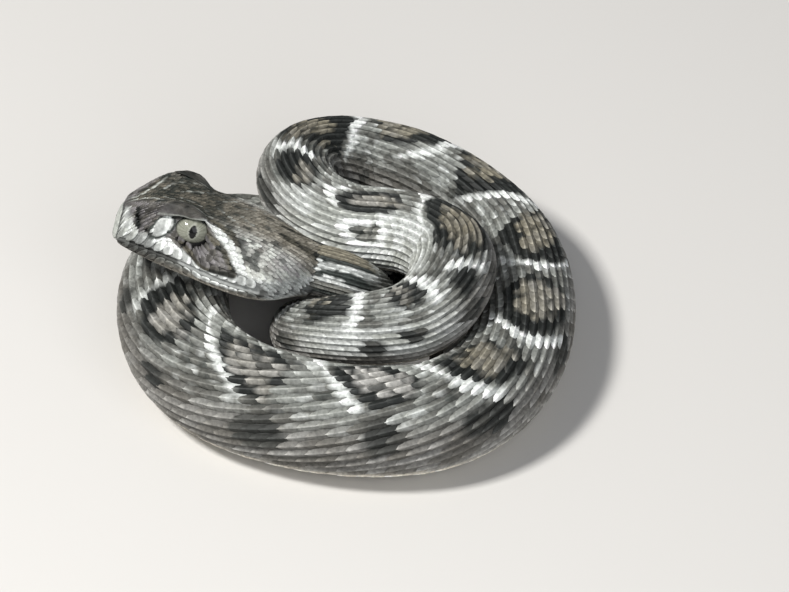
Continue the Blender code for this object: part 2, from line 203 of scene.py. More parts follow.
# Body surface
def dorsal_frames(points):
    """Tangent and back direction at each point: the back is carried along without twist, and the
    twist that would bring it upright, measured where the route lies level, is added smoothly."""
    tangents = unit(np.gradient(points, axis=0))
    up = np.array([0.0, 0.0, 1.0])
    carried = np.zeros_like(points)
    carried[0] = unit(up - up.dot(tangents[0]) * tangents[0])
    for k in range(1, len(points)):
        carried[k] = unit(carried[k - 1] - carried[k - 1].dot(tangents[k]) * tangents[k])
    side = np.cross(tangents, carried)
    wanted = up - tangents * tangents[:, 2:3]
    twist = np.arctan2((wanted * side).sum(1), (wanted * carried).sum(1))
    level = np.abs(tangents[:, 2]) < LEVEL_LIMIT
    index = np.arange(len(points))
    twist = np.interp(index, index[level], np.unwrap(twist[level]))
    window = np.ones(TWIST_WINDOW) / TWIST_WINDOW
    twist = np.convolve(np.pad(twist, TWIST_WINDOW // 2, mode="edge"), window, mode="valid")
    twist = twist[:len(points)]
    return tangents, carried * np.cos(twist)[:, None] + side * np.sin(twist)[:, None]


def body_table(step):
    """Centre, back, side, tangent and girth radius at every `step` of the way from the nape."""
    axis = unit(np.array(NAPE) - np.array(SNOUT))
    lead = [np.array(NAPE) + reach * axis for reach in NECK_LEAD]
    points = spline([*lead, *ROUTE], ROUTE_DETAIL)
    distance = np.concatenate([[0.0], np.cumsum(np.linalg.norm(np.diff(points, axis=0), axis=1))])
    tangents, backs = dorsal_frames(points)
    places = np.arange(0.0, distance[-1] + step / 2, step)
    centre, along, back = [np.stack([np.interp(places, distance, column) for column in rows.T], 1)
                           for rows in (points, tangents, backs)]
    along = unit(along)
    back = unit(back - along * (back * along).sum(1, keepdims=True))
    profile = spline(GIRTH, PROFILE_DETAIL)
    radius = np.interp(places, profile[:, 0], profile[:, 1])
    return np.concatenate([centre, back, np.cross(along, back), along, radius[:, None]], axis=1)


# Columns of the body's table
CENTRE, BACK, SIDE, ALONG = slice(0, 3), slice(3, 6), slice(6, 9), slice(9, 12)
RADIUS = 12
BODY_STEP = 0.1
BODY = body_table(BODY_STEP)
BODY_LENGTH = (len(BODY) - 1) * BODY_STEP


def girth_radius(distance):
    """Girth radius of the body at each distance."""
    return read_table(BODY, distance / BODY_STEP)[..., RADIUS]


def body_surface(distance, angle, lift):
    """Points on the body: spine + (radius + lift) * (sin(angle) * side + share * cos(angle) * back),
    where the share flattens back and belly a little. Ahead of the nape and past the tail the spine
    runs straight on."""
    row = read_table(BODY, distance / BODY_STEP)
    beyond = distance - np.clip(distance, 0, BODY_LENGTH)
    turn = np.radians(angle)
    rise = np.cos(turn) * np.where(np.cos(turn) > 0, BACK_HEIGHT, BELLY_DEPTH)
    reach = (row[..., RADIUS] + lift)[..., None]
    return (row[..., CENTRE] + beyond[..., None] * row[..., ALONG]
            + reach * (np.sin(turn)[..., None] * row[..., SIDE] + rise[..., None] * row[..., BACK]))


def body_surface_on_floor(distance, angle, lift):
    """The body's surface, laid flat where it would reach under the floor."""
    points = body_surface(distance, angle, lift)
    points[..., 2] = np.maximum(points[..., 2], 0.0)
    return points


# Head surface
HEAD_STEP = 0.1
WAY_STEP = 0.1
HEAD_INSIDE = (0, 0, 1.0)     # a point on the line inside the head that faces look away from
SNOUT_TIP_LEAN = (-0.4, 0, -0.3)   # how the outward normal leans where the snout's tip closes


def head_axes():
    """Columns: back from the snout, to the right side, out of the crown, as the solids have them."""
    back = unit(np.array(NAPE) - np.array(SNOUT))
    level_right = unit(np.cross((0, 0, 1), back))
    level_crown = np.cross(back, level_right)
    right = level_right * math.cos(HEAD_ROLL) - level_crown * math.sin(HEAD_ROLL)
    return np.stack([back, right, np.cross(back, right)], axis=1)


HEAD_AXES = head_axes()
HEAD_LENGTH = float(np.linalg.norm(np.array(NAPE) - np.array(SNOUT)))
HEAD_STATIONS = np.arange(0.0, HEAD_LENGTH + 0.01, HEAD_STEP)


def head_to_world(points):
    """Points of the head's own frame moved to the shared frame."""
    return points @ HEAD_AXES.T + np.array(SNOUT)


def read_rail(rail, stations):
    """Half width and height of a rail at each station, read from a smooth curve through it."""
    dense = spline(rail, RAIL_DETAIL)
    dense = dense[np.argsort(dense[:, 0], kind="stable")]
    return np.stack([np.interp(stations, dense[:, 0], dense[:, k]) for k in (1, 2)], axis=1)


def head_sections(stations, columns):
    """Right half of the head's section at each station, from the crown to the chin: a Catmull-Rom
    curve through the rails, with `columns` points from one rail to the next."""
    crown, brow, flank, cheek, lip, chin = [read_rail(rail, stations)
                                            for rail in (CROWN, BROW, FLANK, CHEEK, LIP, CHIN)]
    fade = np.interp(stations, (0.0, MOUTH_START, *MOUTH_END), (0.0, 1.0, 1.0, 0.0))
    groove = lip - np.stack([MOUTH_GROOVE * fade, np.full_like(stations, MOUTH_GROOVE)], axis=1)
    lower_lip = lip - np.stack([LOWER_LIP_INSET * fade,
                                np.full_like(stations, LOWER_LIP_DROP)], axis=1)
    jaw_edge = np.stack([lip[:, 0] * JAW_EDGE_WIDTH,
                         lower_lip[:, 1] + JAW_EDGE_DEPTH * (chin - lower_lip)[:, 1]], axis=1)
    mirror = (-1, 1)
    rails = [brow * mirror, crown, brow, flank, cheek, lip, groove, lower_lip, jaw_edge, chin,
             jaw_edge * mirror]
    spans = [between(*rails[k:k + 4], count) for k, count in enumerate(columns)]
    half = np.concatenate([*spans, chin[:, None, :]], axis=1)
    along = np.broadcast_to(stations[:, None, None], (*half.shape[:2], 1))
    return np.concatenate([along, half], axis=2)


def way_along(half):
    """Way along the skin from the crown to every point of the head's half sections."""
    steps = np.linalg.norm(np.diff(half, axis=1), axis=2)
    return np.concatenate([np.zeros((len(half), 1)), np.cumsum(steps, axis=1)], axis=1)


def turned_outward(normals, points):
    """Normals of the head, turned round where they look towards the line inside it."""
    facing = np.sign((normals * (points - HEAD_INSIDE) * (0, 1, 1)).sum(axis=2, keepdims=True))
    return normals * np.where(facing == 0, 1, facing)


def head_table():
    """Points of the head at even steps of the way from the crown, their outward normals and the way
    of the half's own columns. The left half is the mirror image of the right one."""
    half = head_sections(HEAD_STATIONS, RAIL_COLUMNS)
    way = way_along(half)
    even = np.arange(0.0, way[:, -1].max() + WAY_STEP, WAY_STEP)
    table = np.stack([np.stack([np.interp(even, way[k], half[k, :, axis]) for axis in range(3)], 1)
                      for k in range(len(half))])
    whole = np.concatenate([table[:, :0:-1] * (1, -1, 1), table], axis=1)
    normals = np.cross(np.gradient(whole, axis=0), np.gradient(whole, axis=1))
    closed = np.linalg.norm(normals, axis=2, keepdims=True) < 1e-6
    normals = np.where(closed, unit(whole * (0, 1, 1) + SNOUT_TIP_LEAN), unit(normals))
    return whole, turned_outward(normals, whole), way


HEAD_POINTS, HEAD_NORMALS, COLUMN_WAY = head_table()
WAY_MIDDLE = (HEAD_POINTS.shape[1] - 1) / 2
LIP_COLUMN = sum(RAIL_COLUMNS[:4])
LIP_WAY = COLUMN_WAY[:, LIP_COLUMN]
LOWER_LIP_WAY = COLUMN_WAY[:, LIP_COLUMN + sum(RAIL_COLUMNS[4:6])]
CHIN_WAY = COLUMN_WAY[:, -1]


def way_of(rail_way, station):
    """Way from the crown to a rail at each station."""
    return np.interp(station, HEAD_STATIONS, rail_way)


def read_head(table, station, way):
    """Rows of one of the head's tables at each station and way."""
    return read_grid(table, station / HEAD_STEP, way / WAY_STEP + WAY_MIDDLE)


def head_surface(station, way, lift):
    """Points on the head: the lofted skin at a station and a way from the crown, plus lift times the
    outward normal. Past the nape it is the body's surface, with the way turned into an angle."""
    normals = unit(read_head(HEAD_NORMALS, station, way))
    on_head = head_to_world(read_head(HEAD_POINTS, station, way) + normals * lift[..., None])
    beyond = station - HEAD_LENGTH
    on_neck = body_surface(beyond, nape_turn(beyond) - 180.0 * way / CHIN_WAY[-1], lift)
    share = smooth_step(-NAPE_BLEND, NAPE_BLEND, beyond)[..., None]
    return on_head * (1 - share) + on_neck * share


def nape_turn(distance):
    """Degrees by which the head's roll turns the rows of the neck, fading out behind the nape."""
    crown = HEAD_AXES[:, 2]
    roll = math.degrees(math.atan2(crown @ BODY[0, SIDE], crown @ BODY[0, BACK]))
    return roll * (1 - smooth_step(0.0, NAPE_TURN_LENGTH, distance))


# Colours of the markings
WHITE = np.array([0.72, 0.75, 0.73])
PALE = np.array([0.34, 0.355, 0.33])
STONE = np.array([0.17, 0.172, 0.155])
FLANK_PALE = np.array([0.215, 0.212, 0.200])
FLANK_DARK = np.array([0.105, 0.100, 0.088])
MAUVE = np.array([0.196, 0.187, 0.192])
BROWN = np.array([0.170, 0.156, 0.118])
SLATE = np.array([0.185, 0.180, 0.160])
BLACK = np.array([0.010, 0.012, 0.011])
BELLY = np.array([0.60, 0.56, 0.48])
TAIL_WHITE = np.array([0.55, 0.55, 0.52])
BACK_LIGHT = PALE * 0.62
BACK_DARK = STONE * 0.55
FLECK_WHITE = WHITE * 0.9
FLECK_BLACK = BLACK * 3
FLANK_SHADE = 0.86       # how dark the body's flanks are beside the same colours on the head
BLOTCH_GREY = FLANK_PALE * 1.4
RING_WHITE = WHITE * 1.1
TAIL_BLACK = BLACK * 1.6
CROWN_WARMTH = np.array([1.05, 1.0, 0.90])
CROWN_DARK = BLACK * 2.5
CROWN_LIGHT = FLANK_DARK * 1.35
TEMPLE_BRIGHTNESS = 1.22

# Mottles of the body
DEGREE = 0.1             # millimetres along the skin for one degree, at the body's usual girth
CLOUD_SIZE = 2.3         # millimetres across one cloud
GRAIN_SIZE = 0.8
MARGIN_CLOUD_SIZE = 1.7
KNOTS = np.random.default_rng(11).random((67, 71))

# Ranges of degrees over which the back goes over into the flank and the flank into the belly
BACK_TO_FLANK = (38, 80)
FLANK_TO_BELLY = (118, 136)
# Painted light: ground painted brighter where a flank faces the light. Window of distances, side (1
# left,
# -1 right), window of degrees on it, lightest colour, range of the clouds that darken it, strength
PAINTED_LIGHT_PATCHES = [
    ((41, 48, 66, 73), -1, (18, 34, 112, 128), WHITE * 0.8, (0.4, 0.6), 0.8),
    ((27, 31, 40, 44), 1, (42, 54, 88, 106), WHITE * 0.62, (0.35, 0.65), 0.7),
]
# The white ring on the raised bend: distance, angle, half length and half height
WHITE_RING = (62.0, -58, 3.0, 24)

# Blotches of the back: front and rear edge, angle of the near and the far end, lean of each edge
# (millimetres further back for every LEAN_ANGLE), bow of the rear edge (millimetres that its middle
# lies behind its ends), and how pale the middle is: 0 brown, 1 slate, 2 the grey of the flanks
BLOTCHES = [
    (1.5, 5.0, -42, 44, 0.0, 0.0, 0.5, 0.3), (7.6, 11.4, -48, 48, 0.0, 0.0, 0.5, 0.3),
    (14.2, 18.4, -48, 48, 0.0, 0.0, 0.5, 0.3), (21.0, 25.8, -50, 48, 0.0, 0.0, 0.5, 0.4),
    (28.6, 33.6, -50, 50, 0.0, 0.0, 0.5, 0.5), (37.0, 41.8, -42, 31, 0.0, 0.3, 0.5, 0.9),
    (42.9, 45.6, 8, 60, 0.2, 1.6, 0.0, 0.4), (46.8, 56.2, -27, 62, 0.5, 1.7, 1.4, 0.25),
    (57.6, 67.2, -27, 14, 0.0, 0.0, 1.8, 0.8), (69.0, 74.0, -38, 22, 0.0, -1.2, 0.8, 0.8),
    (75.4, 83.0, -56, 53, 0.0, -1.6, 0.6, 0.15), (85.2, 92.6, -70, 26, 0.6, -1.6, 1.0, 0.3),
    (94.8, 101.6, -66, 38, 0.6, -2.2, 0.8, 0.2), (104.8, 114.2, -62, 28, 1.0, 0.6, 2.2, 0.4),
    (116.4, 126.2, -62, 24, 0.4, 0.6, 2.4, 0.6), (128.6, 136.4, -46, 30, 0.2, 2.9, 0.4, 0.5),
    (140.2, 148.9, -34, 34, 0.4, 3.3, 0.2, 2.0), (153.6, 162.6, -48, 30, 0.0, 6.2, 0.0, 1.2),
    (166.2, 174.4, -50, 20, 0.0, 1.8, 0.4, 1.1), (178.4, 185.4, -50, 50, 0.0, 0.0, 0.6, 0.7),
    (187.0, 191.6, -50, 50, 0.0, 0.0, 0.6, 0.6), (197.2, 201.8, -50, 50, 0.0, 0.0, 0.6, 0.5),
]
LEAN_ANGLE = 45.0
LONGEST_BOW = 2.0        # the bow grows with the square of the height up to this
LEAST_HALF = 0.6         # half the length of the shortest part of a blotch
DEEPEST = 4.0            # depth inside a blotch is counted up to this
EDGE_RAGGEDNESS = 2.4
MARGIN_WIDTH = 0.8       # width of the black margin in front
MARGIN_GROWTH = 3.0      # what it gains towards the rear edge
MARGIN_RAGGEDNESS = 3.6
BAR = (-0.35, -0.15, 0.55, 0.95)   # window of the white bar, from the rear edge on
BAR_RAGGEDNESS = 1.1
BAR_ENDS = (1.05, 1.25)  # where the bar fades out, as shares of the blotch's half height
FAINT_BAR = 166.2        # the blotch, by its front edge, whose white bar is faint
# Spot on the flank behind each blotch: distance behind it, angle, half length and half height
SPOT_BEHIND = 1.6
SPOT_ANGLE = 84.0
SPOT_SIZE = (1.3, 17.0)
# Other dark spots of the flanks: distance, angle, half length in millimetres, half height in degrees
FLANK_SPOTS = [(124.0, -76, 2.0, 13), (135.2, -70, 2.4, 15), (144.2, -66, 1.9, 22),
               (155.3, -78, 2.2, 20), (166.5, -74, 1.6, 12), (175.5, -64, 1.6, 14),
               (71.8, -79, 1.7, 14), (38.4, 68, 1.4, 11)]
# Lengthwise stripes of the neck: degrees from the middle of the crown, half width in degrees, tint
NECK_STRIPES = [(0, 30, BROWN), (32, 5, BLACK * 2.5), (49, 10, WHITE * 0.6), (69, 9, BLACK * 3),
                (83, 5, WHITE * 0.7), (102, 13, STONE * 0.8), (119, 5, BLACK * 3)]
STRIPE_RAGGEDNESS = 34   # degrees
STRIPE_EDGE = (-2.0, 4.0)     # degrees over which a stripe ends, from its half width on
STRIPES_END = (4.4, 6.4)      # distances over which the stripes end
TAIL_START = 205.0
TAIL_BAND = 2.5          # length of one ring of the tail


def mix(low, high, share):
    """Colour rows between two colours, by a share for each row."""
    return low + (high - low) * np.asarray(share)[..., None]


def mottle(x, y):
    """Smooth random shares from 0 to 1 over a plane: two layers of a seeded table of knots, the second
    2.6 times finer, read with an even slope between the knots and repeated over the plane."""
    total = 0.0
    for finer, part in ((1.0, 0.6), (2.6, 0.4)):
        column, row = np.floor(x * finer), np.floor(y * finer)
        p, q = smooth_step(0, 1, x * finer - column), smooth_step(0, 1, y * finer - row)
        i, j = row.astype(int) % KNOTS.shape[0], column.astype(int) % KNOTS.shape[1]
        below, right = (i + 1) % KNOTS.shape[0], (j + 1) % KNOTS.shape[1]
        total = total + part * ((KNOTS[i, j] * (1 - p) + KNOTS[i, right] * p) * (1 - q)
                                + (KNOTS[below, j] * (1 - p) + KNOTS[below, right] * p) * q)
    return total


def ground_colour(distance, angle, flicker, cloud, grain, ragged):
    """Colour of the ground: pale back with white and black flecks, grey flanks, the patches of painted
    light where a flank faces the light, and the white ring round its dark middle."""
    back = mix(BACK_LIGHT, BACK_DARK, smooth_step(0.34, 0.62, 0.7 * cloud + 0.3 * flicker))
    back = mix(back, FLECK_WHITE, 0.5 * smooth_step(0.62, 0.80, grain))
    dark_fleck = smooth_step(0.62, 0.74, 1 - grain) * smooth_step(0.45, 0.6, cloud)
    back = mix(back, FLECK_BLACK, 0.7 * dark_fleck)
    side = mix(FLANK_PALE, FLANK_DARK, smooth_step(0.25, 0.75, 0.6 * cloud + 0.4 * flicker))
    colour = mix(back, side * FLANK_SHADE, smooth_step(*BACK_TO_FLANK, np.abs(angle)))
    # painted light: brighten each patch as on a flank that faces the light
    for along, side, across, light, clouds, strength in PAINTED_LIGHT_PATCHES:
        share = window(*along, distance) * window(*across, side * angle)
        colour = mix(colour, mix(light, PALE, smooth_step(*clouds, cloud)), strength * share)
    place, height, half_length, half_height = WHITE_RING
    ring = np.hypot((distance - place) / half_length, (angle - height) / half_height) + 0.7 * ragged
    middle = mix(BLACK * 2, STONE, smooth_step(0.35, 0.6, grain))
    colour = mix(colour, middle, 1 - smooth_step(0.6, 0.72, ring))
    return mix(colour, RING_WHITE, window(0.68, 0.78, 0.98, 1.1, ring))


def with_spot(colour, distance, angle, spot, ragged, paleness, rim):
    """The colour with a dark spot laid over it: an ellipse sqrt(x^2 + y^2) < 1 in its own half sizes,
    whose ragged edge fades over the range `rim`."""
    place, height, half_length, half_height = spot
    away = np.hypot((distance - place) / half_length, (angle - height) / half_height) + ragged
    return mix(colour, mix(BLACK, SLATE, paleness), 1 - smooth_step(*rim, away))


def with_blotch(colour, distance, angle, flicker, grain, ragged, blotch):
    """The colour with one blotch laid over it: a rounded box (|x|^3 + |y|^3)^(1/3) < 1 in its own
    leaning frame with a ragged edge, whose black margin is broadest behind, with a white bar along
    its rear edge and a dark spot on the flank behind it."""
    front, rear, near, far, front_lean, rear_lean, bow, pale = blotch
    middle_angle, half_angle = (near + far) / 2, (far - near) / 2
    turn = (angle - middle_angle) / LEAN_ANGLE
    y = (angle - middle_angle) / half_angle
    start = front + front_lean * turn
    end = rear + rear_lean * turn - bow * np.minimum(y ** 2, LONGEST_BOW)
    half = np.maximum((end - start) / 2, LEAST_HALF)
    x = (distance - (start + end) / 2) / half
    inside = (np.abs(x) ** 3 + np.abs(y) ** 3) ** (1 / 3)
    depth = (1 - inside) * np.minimum(half, DEEPEST) + EDGE_RAGGEDNESS * ragged
    behind = distance - end

    bar = (smooth_step(*BAR[:2], behind)
           * (1 - smooth_step(*BAR[2:], behind + BAR_RAGGEDNESS * ragged))
           * (1 - smooth_step(*BAR_ENDS, np.abs(y) + 0.4 * ragged))
           * (0.5 if front == FAINT_BAR else 1))
    rearward = np.clip((x + 1) / 2, 0, 1)
    cloud = mottle(distance / MARGIN_CLOUD_SIZE + 37, angle * DEGREE / MARGIN_CLOUD_SIZE + 11)
    margin = MARGIN_WIDTH + MARGIN_GROWTH * rearward ** 2 + MARGIN_RAGGEDNESS * (cloud - 0.5)
    paleness = pale + 1.8 * ragged + 0.5 * (flicker - 0.5)
    middle = mix(BROWN, SLATE, np.clip(paleness, 0, 1))
    middle = mix(middle, BLOTCH_GREY, np.clip(paleness - 1, 0, 1))
    middle = mix(middle, BLACK, 0.8 * smooth_step(0.60, 0.72, 1 - grain))
    dark = mix(BLACK, middle, smooth_step(margin - 0.2, margin + 0.4, depth))
    colour = mix(colour, dark, smooth_step(0.0, 0.45, depth) * (behind < 0.1))
    colour = mix(colour, mix(WHITE, PALE, 0.3 * flicker), bar)
    spot = (rear + SPOT_BEHIND, SPOT_ANGLE, *SPOT_SIZE)
    return with_spot(colour, distance, angle, spot, 0.8 * ragged, 0.4 * flicker, (0.75, 1.0))


def body_colour(distance, angle, flicker):
    """Colour of the body at a distance and angle: the ground, and over it blotches, neck stripes,
    flank spots, the rings of the tail and the belly. `flicker` is a random share for each place, and
    0.6 cloud + 0.4 grain - 0.5 is what makes edges ragged."""
    cloud = mottle(distance / CLOUD_SIZE, angle * DEGREE / CLOUD_SIZE)
    grain = mottle(distance / GRAIN_SIZE + 5, angle * DEGREE / GRAIN_SIZE)
    ragged = 0.6 * cloud + 0.4 * grain - 0.5
    colour = ground_colour(distance, angle, flicker, cloud, grain, ragged)
    for blotch in BLOTCHES:
        colour = with_blotch(colour, distance, angle, flicker, grain, ragged, blotch)
    around = np.abs(angle - nape_turn(distance)) + STRIPE_RAGGEDNESS * ragged
    on_neck = 1 - smooth_step(*STRIPES_END, distance + 2 * ragged)
    for middle, half, tint in NECK_STRIPES:
        away = np.abs(around - middle) - half
        stripe = on_neck * (1 - smooth_step(*STRIPE_EDGE, away))
        colour = mix(colour, tint * (0.8 + 0.4 * flicker[..., None]), stripe)
    for spot in FLANK_SPOTS:
        colour = with_spot(colour, distance, angle, spot, 1.1 * ragged, 0.2 * flicker, (0.95, 1.15))
    on_tail = distance > TAIL_START
    pale_ring = np.floor((distance - TAIL_START) / TAIL_BAND) % 2 == 0
    tail = np.where(pale_ring[..., None], mix(TAIL_WHITE, PALE, flicker), TAIL_BLACK)
    colour = np.where(on_tail[..., None], tail, colour)
    under = smooth_step(*FLANK_TO_BELLY, np.abs(angle)) * np.where(on_tail, 0.5, 1.0)
    return mix(colour, BELLY * (0.8 + 0.3 * flicker[..., None]), under)


def belly_colour(distance, angle, flicker):
    """Cream belly plates, dusky towards the tail and at both ends of every plate."""
    ends = smooth_step(20, 50, np.abs(angle - 180))
    shade = np.where(distance > TAIL_START, 0.5, 0.85) * (1 - 0.45 * ends) + 0.25 * flicker
    return BELLY * shade[..., None]


# Strokes on the side of the head: (station, way from the crown, half width) of each point
# painted highlight along the front edge of the snout
SNOUT_EDGE_HIGHLIGHT = [(0.35, 0.0, 0.12), (0.4, 1.2, 0.14), (0.7, 2.0, 0.15)]
SNOUT_SIDE = [(0.7, 2.3, 0.35), (0.7, 3.6, 0.55), (1.1, 5.2, 0.65), (1.9, 6.8, 0.5)]
# painted highlight along the snout's top edge
CANTHUS_HIGHLIGHT = [(0.8, 0.5, 0.12), (1.4, 0.4, 0.13), (2.3, 0.9, 0.13), (3.4, 2.0, 0.14), (4.3, 3.4, 0.12)]
NOSE_GREY = [(2.3, 3.6, 0.5), (2.7, 5.2, 0.7), (3.0, 6.6, 0.55)]
PREOCULAR = [(4.9, 7.95, 1.05), (4.92, 8.05, 1.05)]
PREOCULAR_RIM = [(station, way, reach + 0.3) for station, way, reach in PREOCULAR]
BROW_SHADE = [(5.2, 7.1, 0.25), (6.0, 7.1, 0.3), (7.8, 6.6, 0.3), (9.4, 5.9, 0.25)]
# painted shade in the nostril's opening
NOSTRIL_PAINTED_SHADE = [(1.9, 3.2, 0.18), (2.05, 4.5, 0.28), (2.4, 6.1, 0.22)]
# painted highlight along the overhanging lower edge of the brow plate
BROW_EDGE_HIGHLIGHT = [(4.2, 6.15, 0.12), (5.8, 6.5, 0.18), (7.8, 6.05, 0.18), (9.1, 5.35, 0.14)]
LIP_STRIPE = [(4.6, 9.2, 0.4), (5.4, 10.1, 0.6), (6.4, 10.9, 0.7), (8.0, 11.5, 0.9),
              (10.0, 11.2, 0.9), (13.5, 11.3, 0.9), (16.0, 10.6, 0.6)]
EYE_STRIPE = [(9.4, 5.2, 0.3), (10.3, 5.4, 0.5), (11.0, 6.0, 0.5), (12.1, 6.7, 0.45),
              (12.7, 7.3, 0.45), (13.3, 8.1, 0.55), (13.9, 8.8, 0.6), (14.6, 9.5, 0.5),
              (15.4, 9.9, 0.35)]
CHEEK_DARK = [(7.6, 9.9, 0.5), (9.4, 8.9, 1.1), (11.2, 8.6, 1.5), (12.6, 9.0, 0.9), (13.3, 9.6, 0.5)]
CHEEK_EDGES = [
    [(7.2, 9.9, 0.35), (8.2, 10.1, 0.4), (9.6, 10.2, 0.3), (11.8, 10.2, 0.3), (13.4, 9.9, 0.3)],
    [(9.7, 6.4, 0.3), (10.8, 7.0, 0.35), (11.9, 7.8, 0.35), (12.7, 8.7, 0.35), (13.2, 9.5, 0.3)],
]
STRIPE_SHADOW = [(9.6, 4.3, 0.3), (10.9, 4.7, 0.4), (12.1, 5.5, 0.5), (13.3, 6.5, 0.35)]
CROWN_STREAKS = [
    [(4.2, 1.2, 0.1), (5.2, 2.4, 0.14), (6.4, 3.0, 0.1)],
    [(6.2, 1.0, 0.12), (8.2, 1.9, 0.14), (9.6, 3.0, 0.1)],
    [(7.4, 3.4, 0.1), (8.6, 3.9, 0.13), (9.9, 3.7, 0.1)],
    [(10.2, 0.9, 0.1), (11.6, 2.2, 0.14), (12.6, 3.2, 0.1)],
    [(13.0, 1.2, 0.1), (14.4, 2.3, 0.13), (15.6, 2.6, 0.1)],
]
NAPE_STREAK = [(17.6, 1.3, 0.35), (19.0, 1.5, 0.5), (20.6, 1.7, 0.55), (22.4, 1.8, 0.55)]
# Dark spots of the head: (station, way from the crown, radius)
HEAD_SPOTS = [(11.8, 4.8, 0.5), (13.5, 5.9, 0.4), (14.1, 6.8, 0.5), (15.1, 7.3, 0.65), (15.6, 8.0, 0.4),
              (14.6, 5.5, 0.35), (10.4, 0.6, 0.5), (12.4, 1.2, 0.4), (17.3, 3.5, 0.45), (13.9, 3.4, 0.4),
              (11.0, 3.2, 0.45), (16.2, 1.4, 0.4), (18.2, 5.6, 0.35), (9.2, 2.4, 0.4), (15.8, 4.4, 0.3)]
STROKE_EDGE = 0.2        # width over which a stroke's edge fades
# What is painted on the head, in this order: strokes, two colours, how far the flicker goes from the
# first to the second, width of the fading edge
HEAD_PAINT = [
    ([CHEEK_DARK], FLANK_DARK, MAUVE * 1.1, 1.0, STROKE_EDGE),
    (CHEEK_EDGES, BLACK, BROWN, 0.8, STROKE_EDGE),
    ([NAPE_STREAK], BLACK, BROWN, 0.5, STROKE_EDGE),
    ([STRIPE_SHADOW], BLACK * 1.5, BROWN, 0.7, STROKE_EDGE),
    (CROWN_STREAKS, STONE, PALE * 0.8, 1.0, 0.15),
    ([NOSE_GREY], FLANK_DARK * 0.8, MAUVE * 0.8, 1.0, STROKE_EDGE),
    ([SNOUT_SIDE], PALE * 1.3, WHITE, 1.0, 0.4),
    ([SNOUT_EDGE_HIGHLIGHT], WHITE * 0.7, WHITE, 0.0, STROKE_EDGE),
    ([CANTHUS_HIGHLIGHT], PALE * 1.2, PALE, 0.0, STROKE_EDGE),
    ([LIP_STRIPE], WHITE * 1.35, PALE, 0.3, STROKE_EDGE),
    ([PREOCULAR_RIM], BLACK * 4, BLACK, 0.0, STROKE_EDGE),
    ([BROW_SHADE], BLACK * 2, BLACK, 0.0, STROKE_EDGE),
    ([PREOCULAR], WHITE * 1.1, WHITE, 0.0, STROKE_EDGE),
    ([NOSTRIL_PAINTED_SHADE], BLACK, BLACK, 0.0, STROKE_EDGE),
    ([BROW_EDGE_HIGHLIGHT], PALE * 1.3, PALE, 0.0, STROKE_EDGE),
    ([EYE_STRIPE], WHITE, PALE, 0.3, STROKE_EDGE),
]


def stroke_depth(stroke, station, way):
    """How far each place lies inside a stroke: the half width at the nearest point of its polyline
    minus the distance from it."""
    rows = np.array(stroke)
    best = np.full(station.shape, -99.0)
    for (x0, y0, w0), (x1, y1, w1) in zip(rows[:-1], rows[1:]):
        length = (x1 - x0) ** 2 + (y1 - y0) ** 2
        t = np.clip(((station - x0) * (x1 - x0) + (way - y0) * (y1 - y0)) / length, 0, 1)
        away = np.hypot(station - x0 - t * (x1 - x0), way - y0 - t * (y1 - y0))
        best = np.maximum(best, w0 + (w1 - w0) * t - away)
    return best


def crown_colour(station, way, flicker, cloud):
    """The head's ground: a dark mottled crown in front, the greyer temple behind, mauve towards the
    end of the jaw, painted brighter there as painted light on a part that faces away from the light."""
    fine = mottle(station / 0.7 + 9, way / 0.35)
    patchy = 0.35 + 0.4 * (flicker - 0.5) + 1.2 * (cloud - 0.5) + 1.6 * (fine - 0.5)
    front = mix(CROWN_DARK, CROWN_LIGHT, np.clip(patchy, 0, 1.2))
    temple = mix(mix(FLANK_DARK * 1.4, FLANK_PALE * 1.5, flicker),
                 mix(FLANK_PALE * 1.4, PALE * 1.7, flicker), smooth_step(3.0, 6.0, way))
    patches = smooth_step(0.55, 0.70, 0.6 * cloud + 0.4 * fine)
    temple = mix(temple, FLANK_DARK * 0.7, 0.7 * patches) * TEMPLE_BRIGHTNESS
    # the end of the jaw is mauve, and painted brighter as painted light where it faces away from the
    # light
    jaw_end_mauve_and_painted_light = window(16.5, 19.0, 20.2, 21.5, station) * smooth_step(3.0, 5.5, way)
    temple = mix(temple, mix(MAUVE * 1.7, PALE * 1.6, flicker), 0.8 * jaw_end_mauve_and_painted_light)
    rear = smooth_step(9.0, 15.5, station)
    colour = mix(front, temple, rear * (0.6 + 0.4 * smooth_step(1.0, 4.5, way)))
    return colour * mix(CROWN_WARMTH, np.ones(3), smooth_step(2.0, 5.0, way))


def with_jaws(colour, station, way, flicker):
    """The colour with the side of the snout, the white upper lip, the lower jaw and the throat; the
    lower jaw is darker towards the snout as painted shade under the upper lip.
    """
    below_lip = way - way_of(LIP_WAY, station)
    side = smooth_step(-6.4, -5.2, below_lip) * (1 - smooth_step(9, 12, station))
    colour = mix(colour, mix(FLANK_DARK, MAUVE, flicker), side)
    colour = mix(colour, mix(WHITE * 0.55, WHITE, flicker), smooth_step(-1.6, -1.1, below_lip))
    jaw = mix(PALE * 0.75, BELLY * 0.8, smooth_step(0.8, 2.2, below_lip))
    # painted shade under the upper lip: the lower jaw darker towards the snout
    jaw = jaw * (0.3 + 0.7 * smooth_step(2.5, 9.0, station))[..., None]
    mouth = 1 - smooth_step(16.5, 18.5, station)
    throat = smooth_step(0.66, 0.76, way / way_of(CHIN_WAY, station)) * (1 - mouth)
    under = np.maximum((below_lip > 0) * mouth, throat)
    return mix(colour, jaw * (0.7 + 0.4 * flicker[..., None]), under)


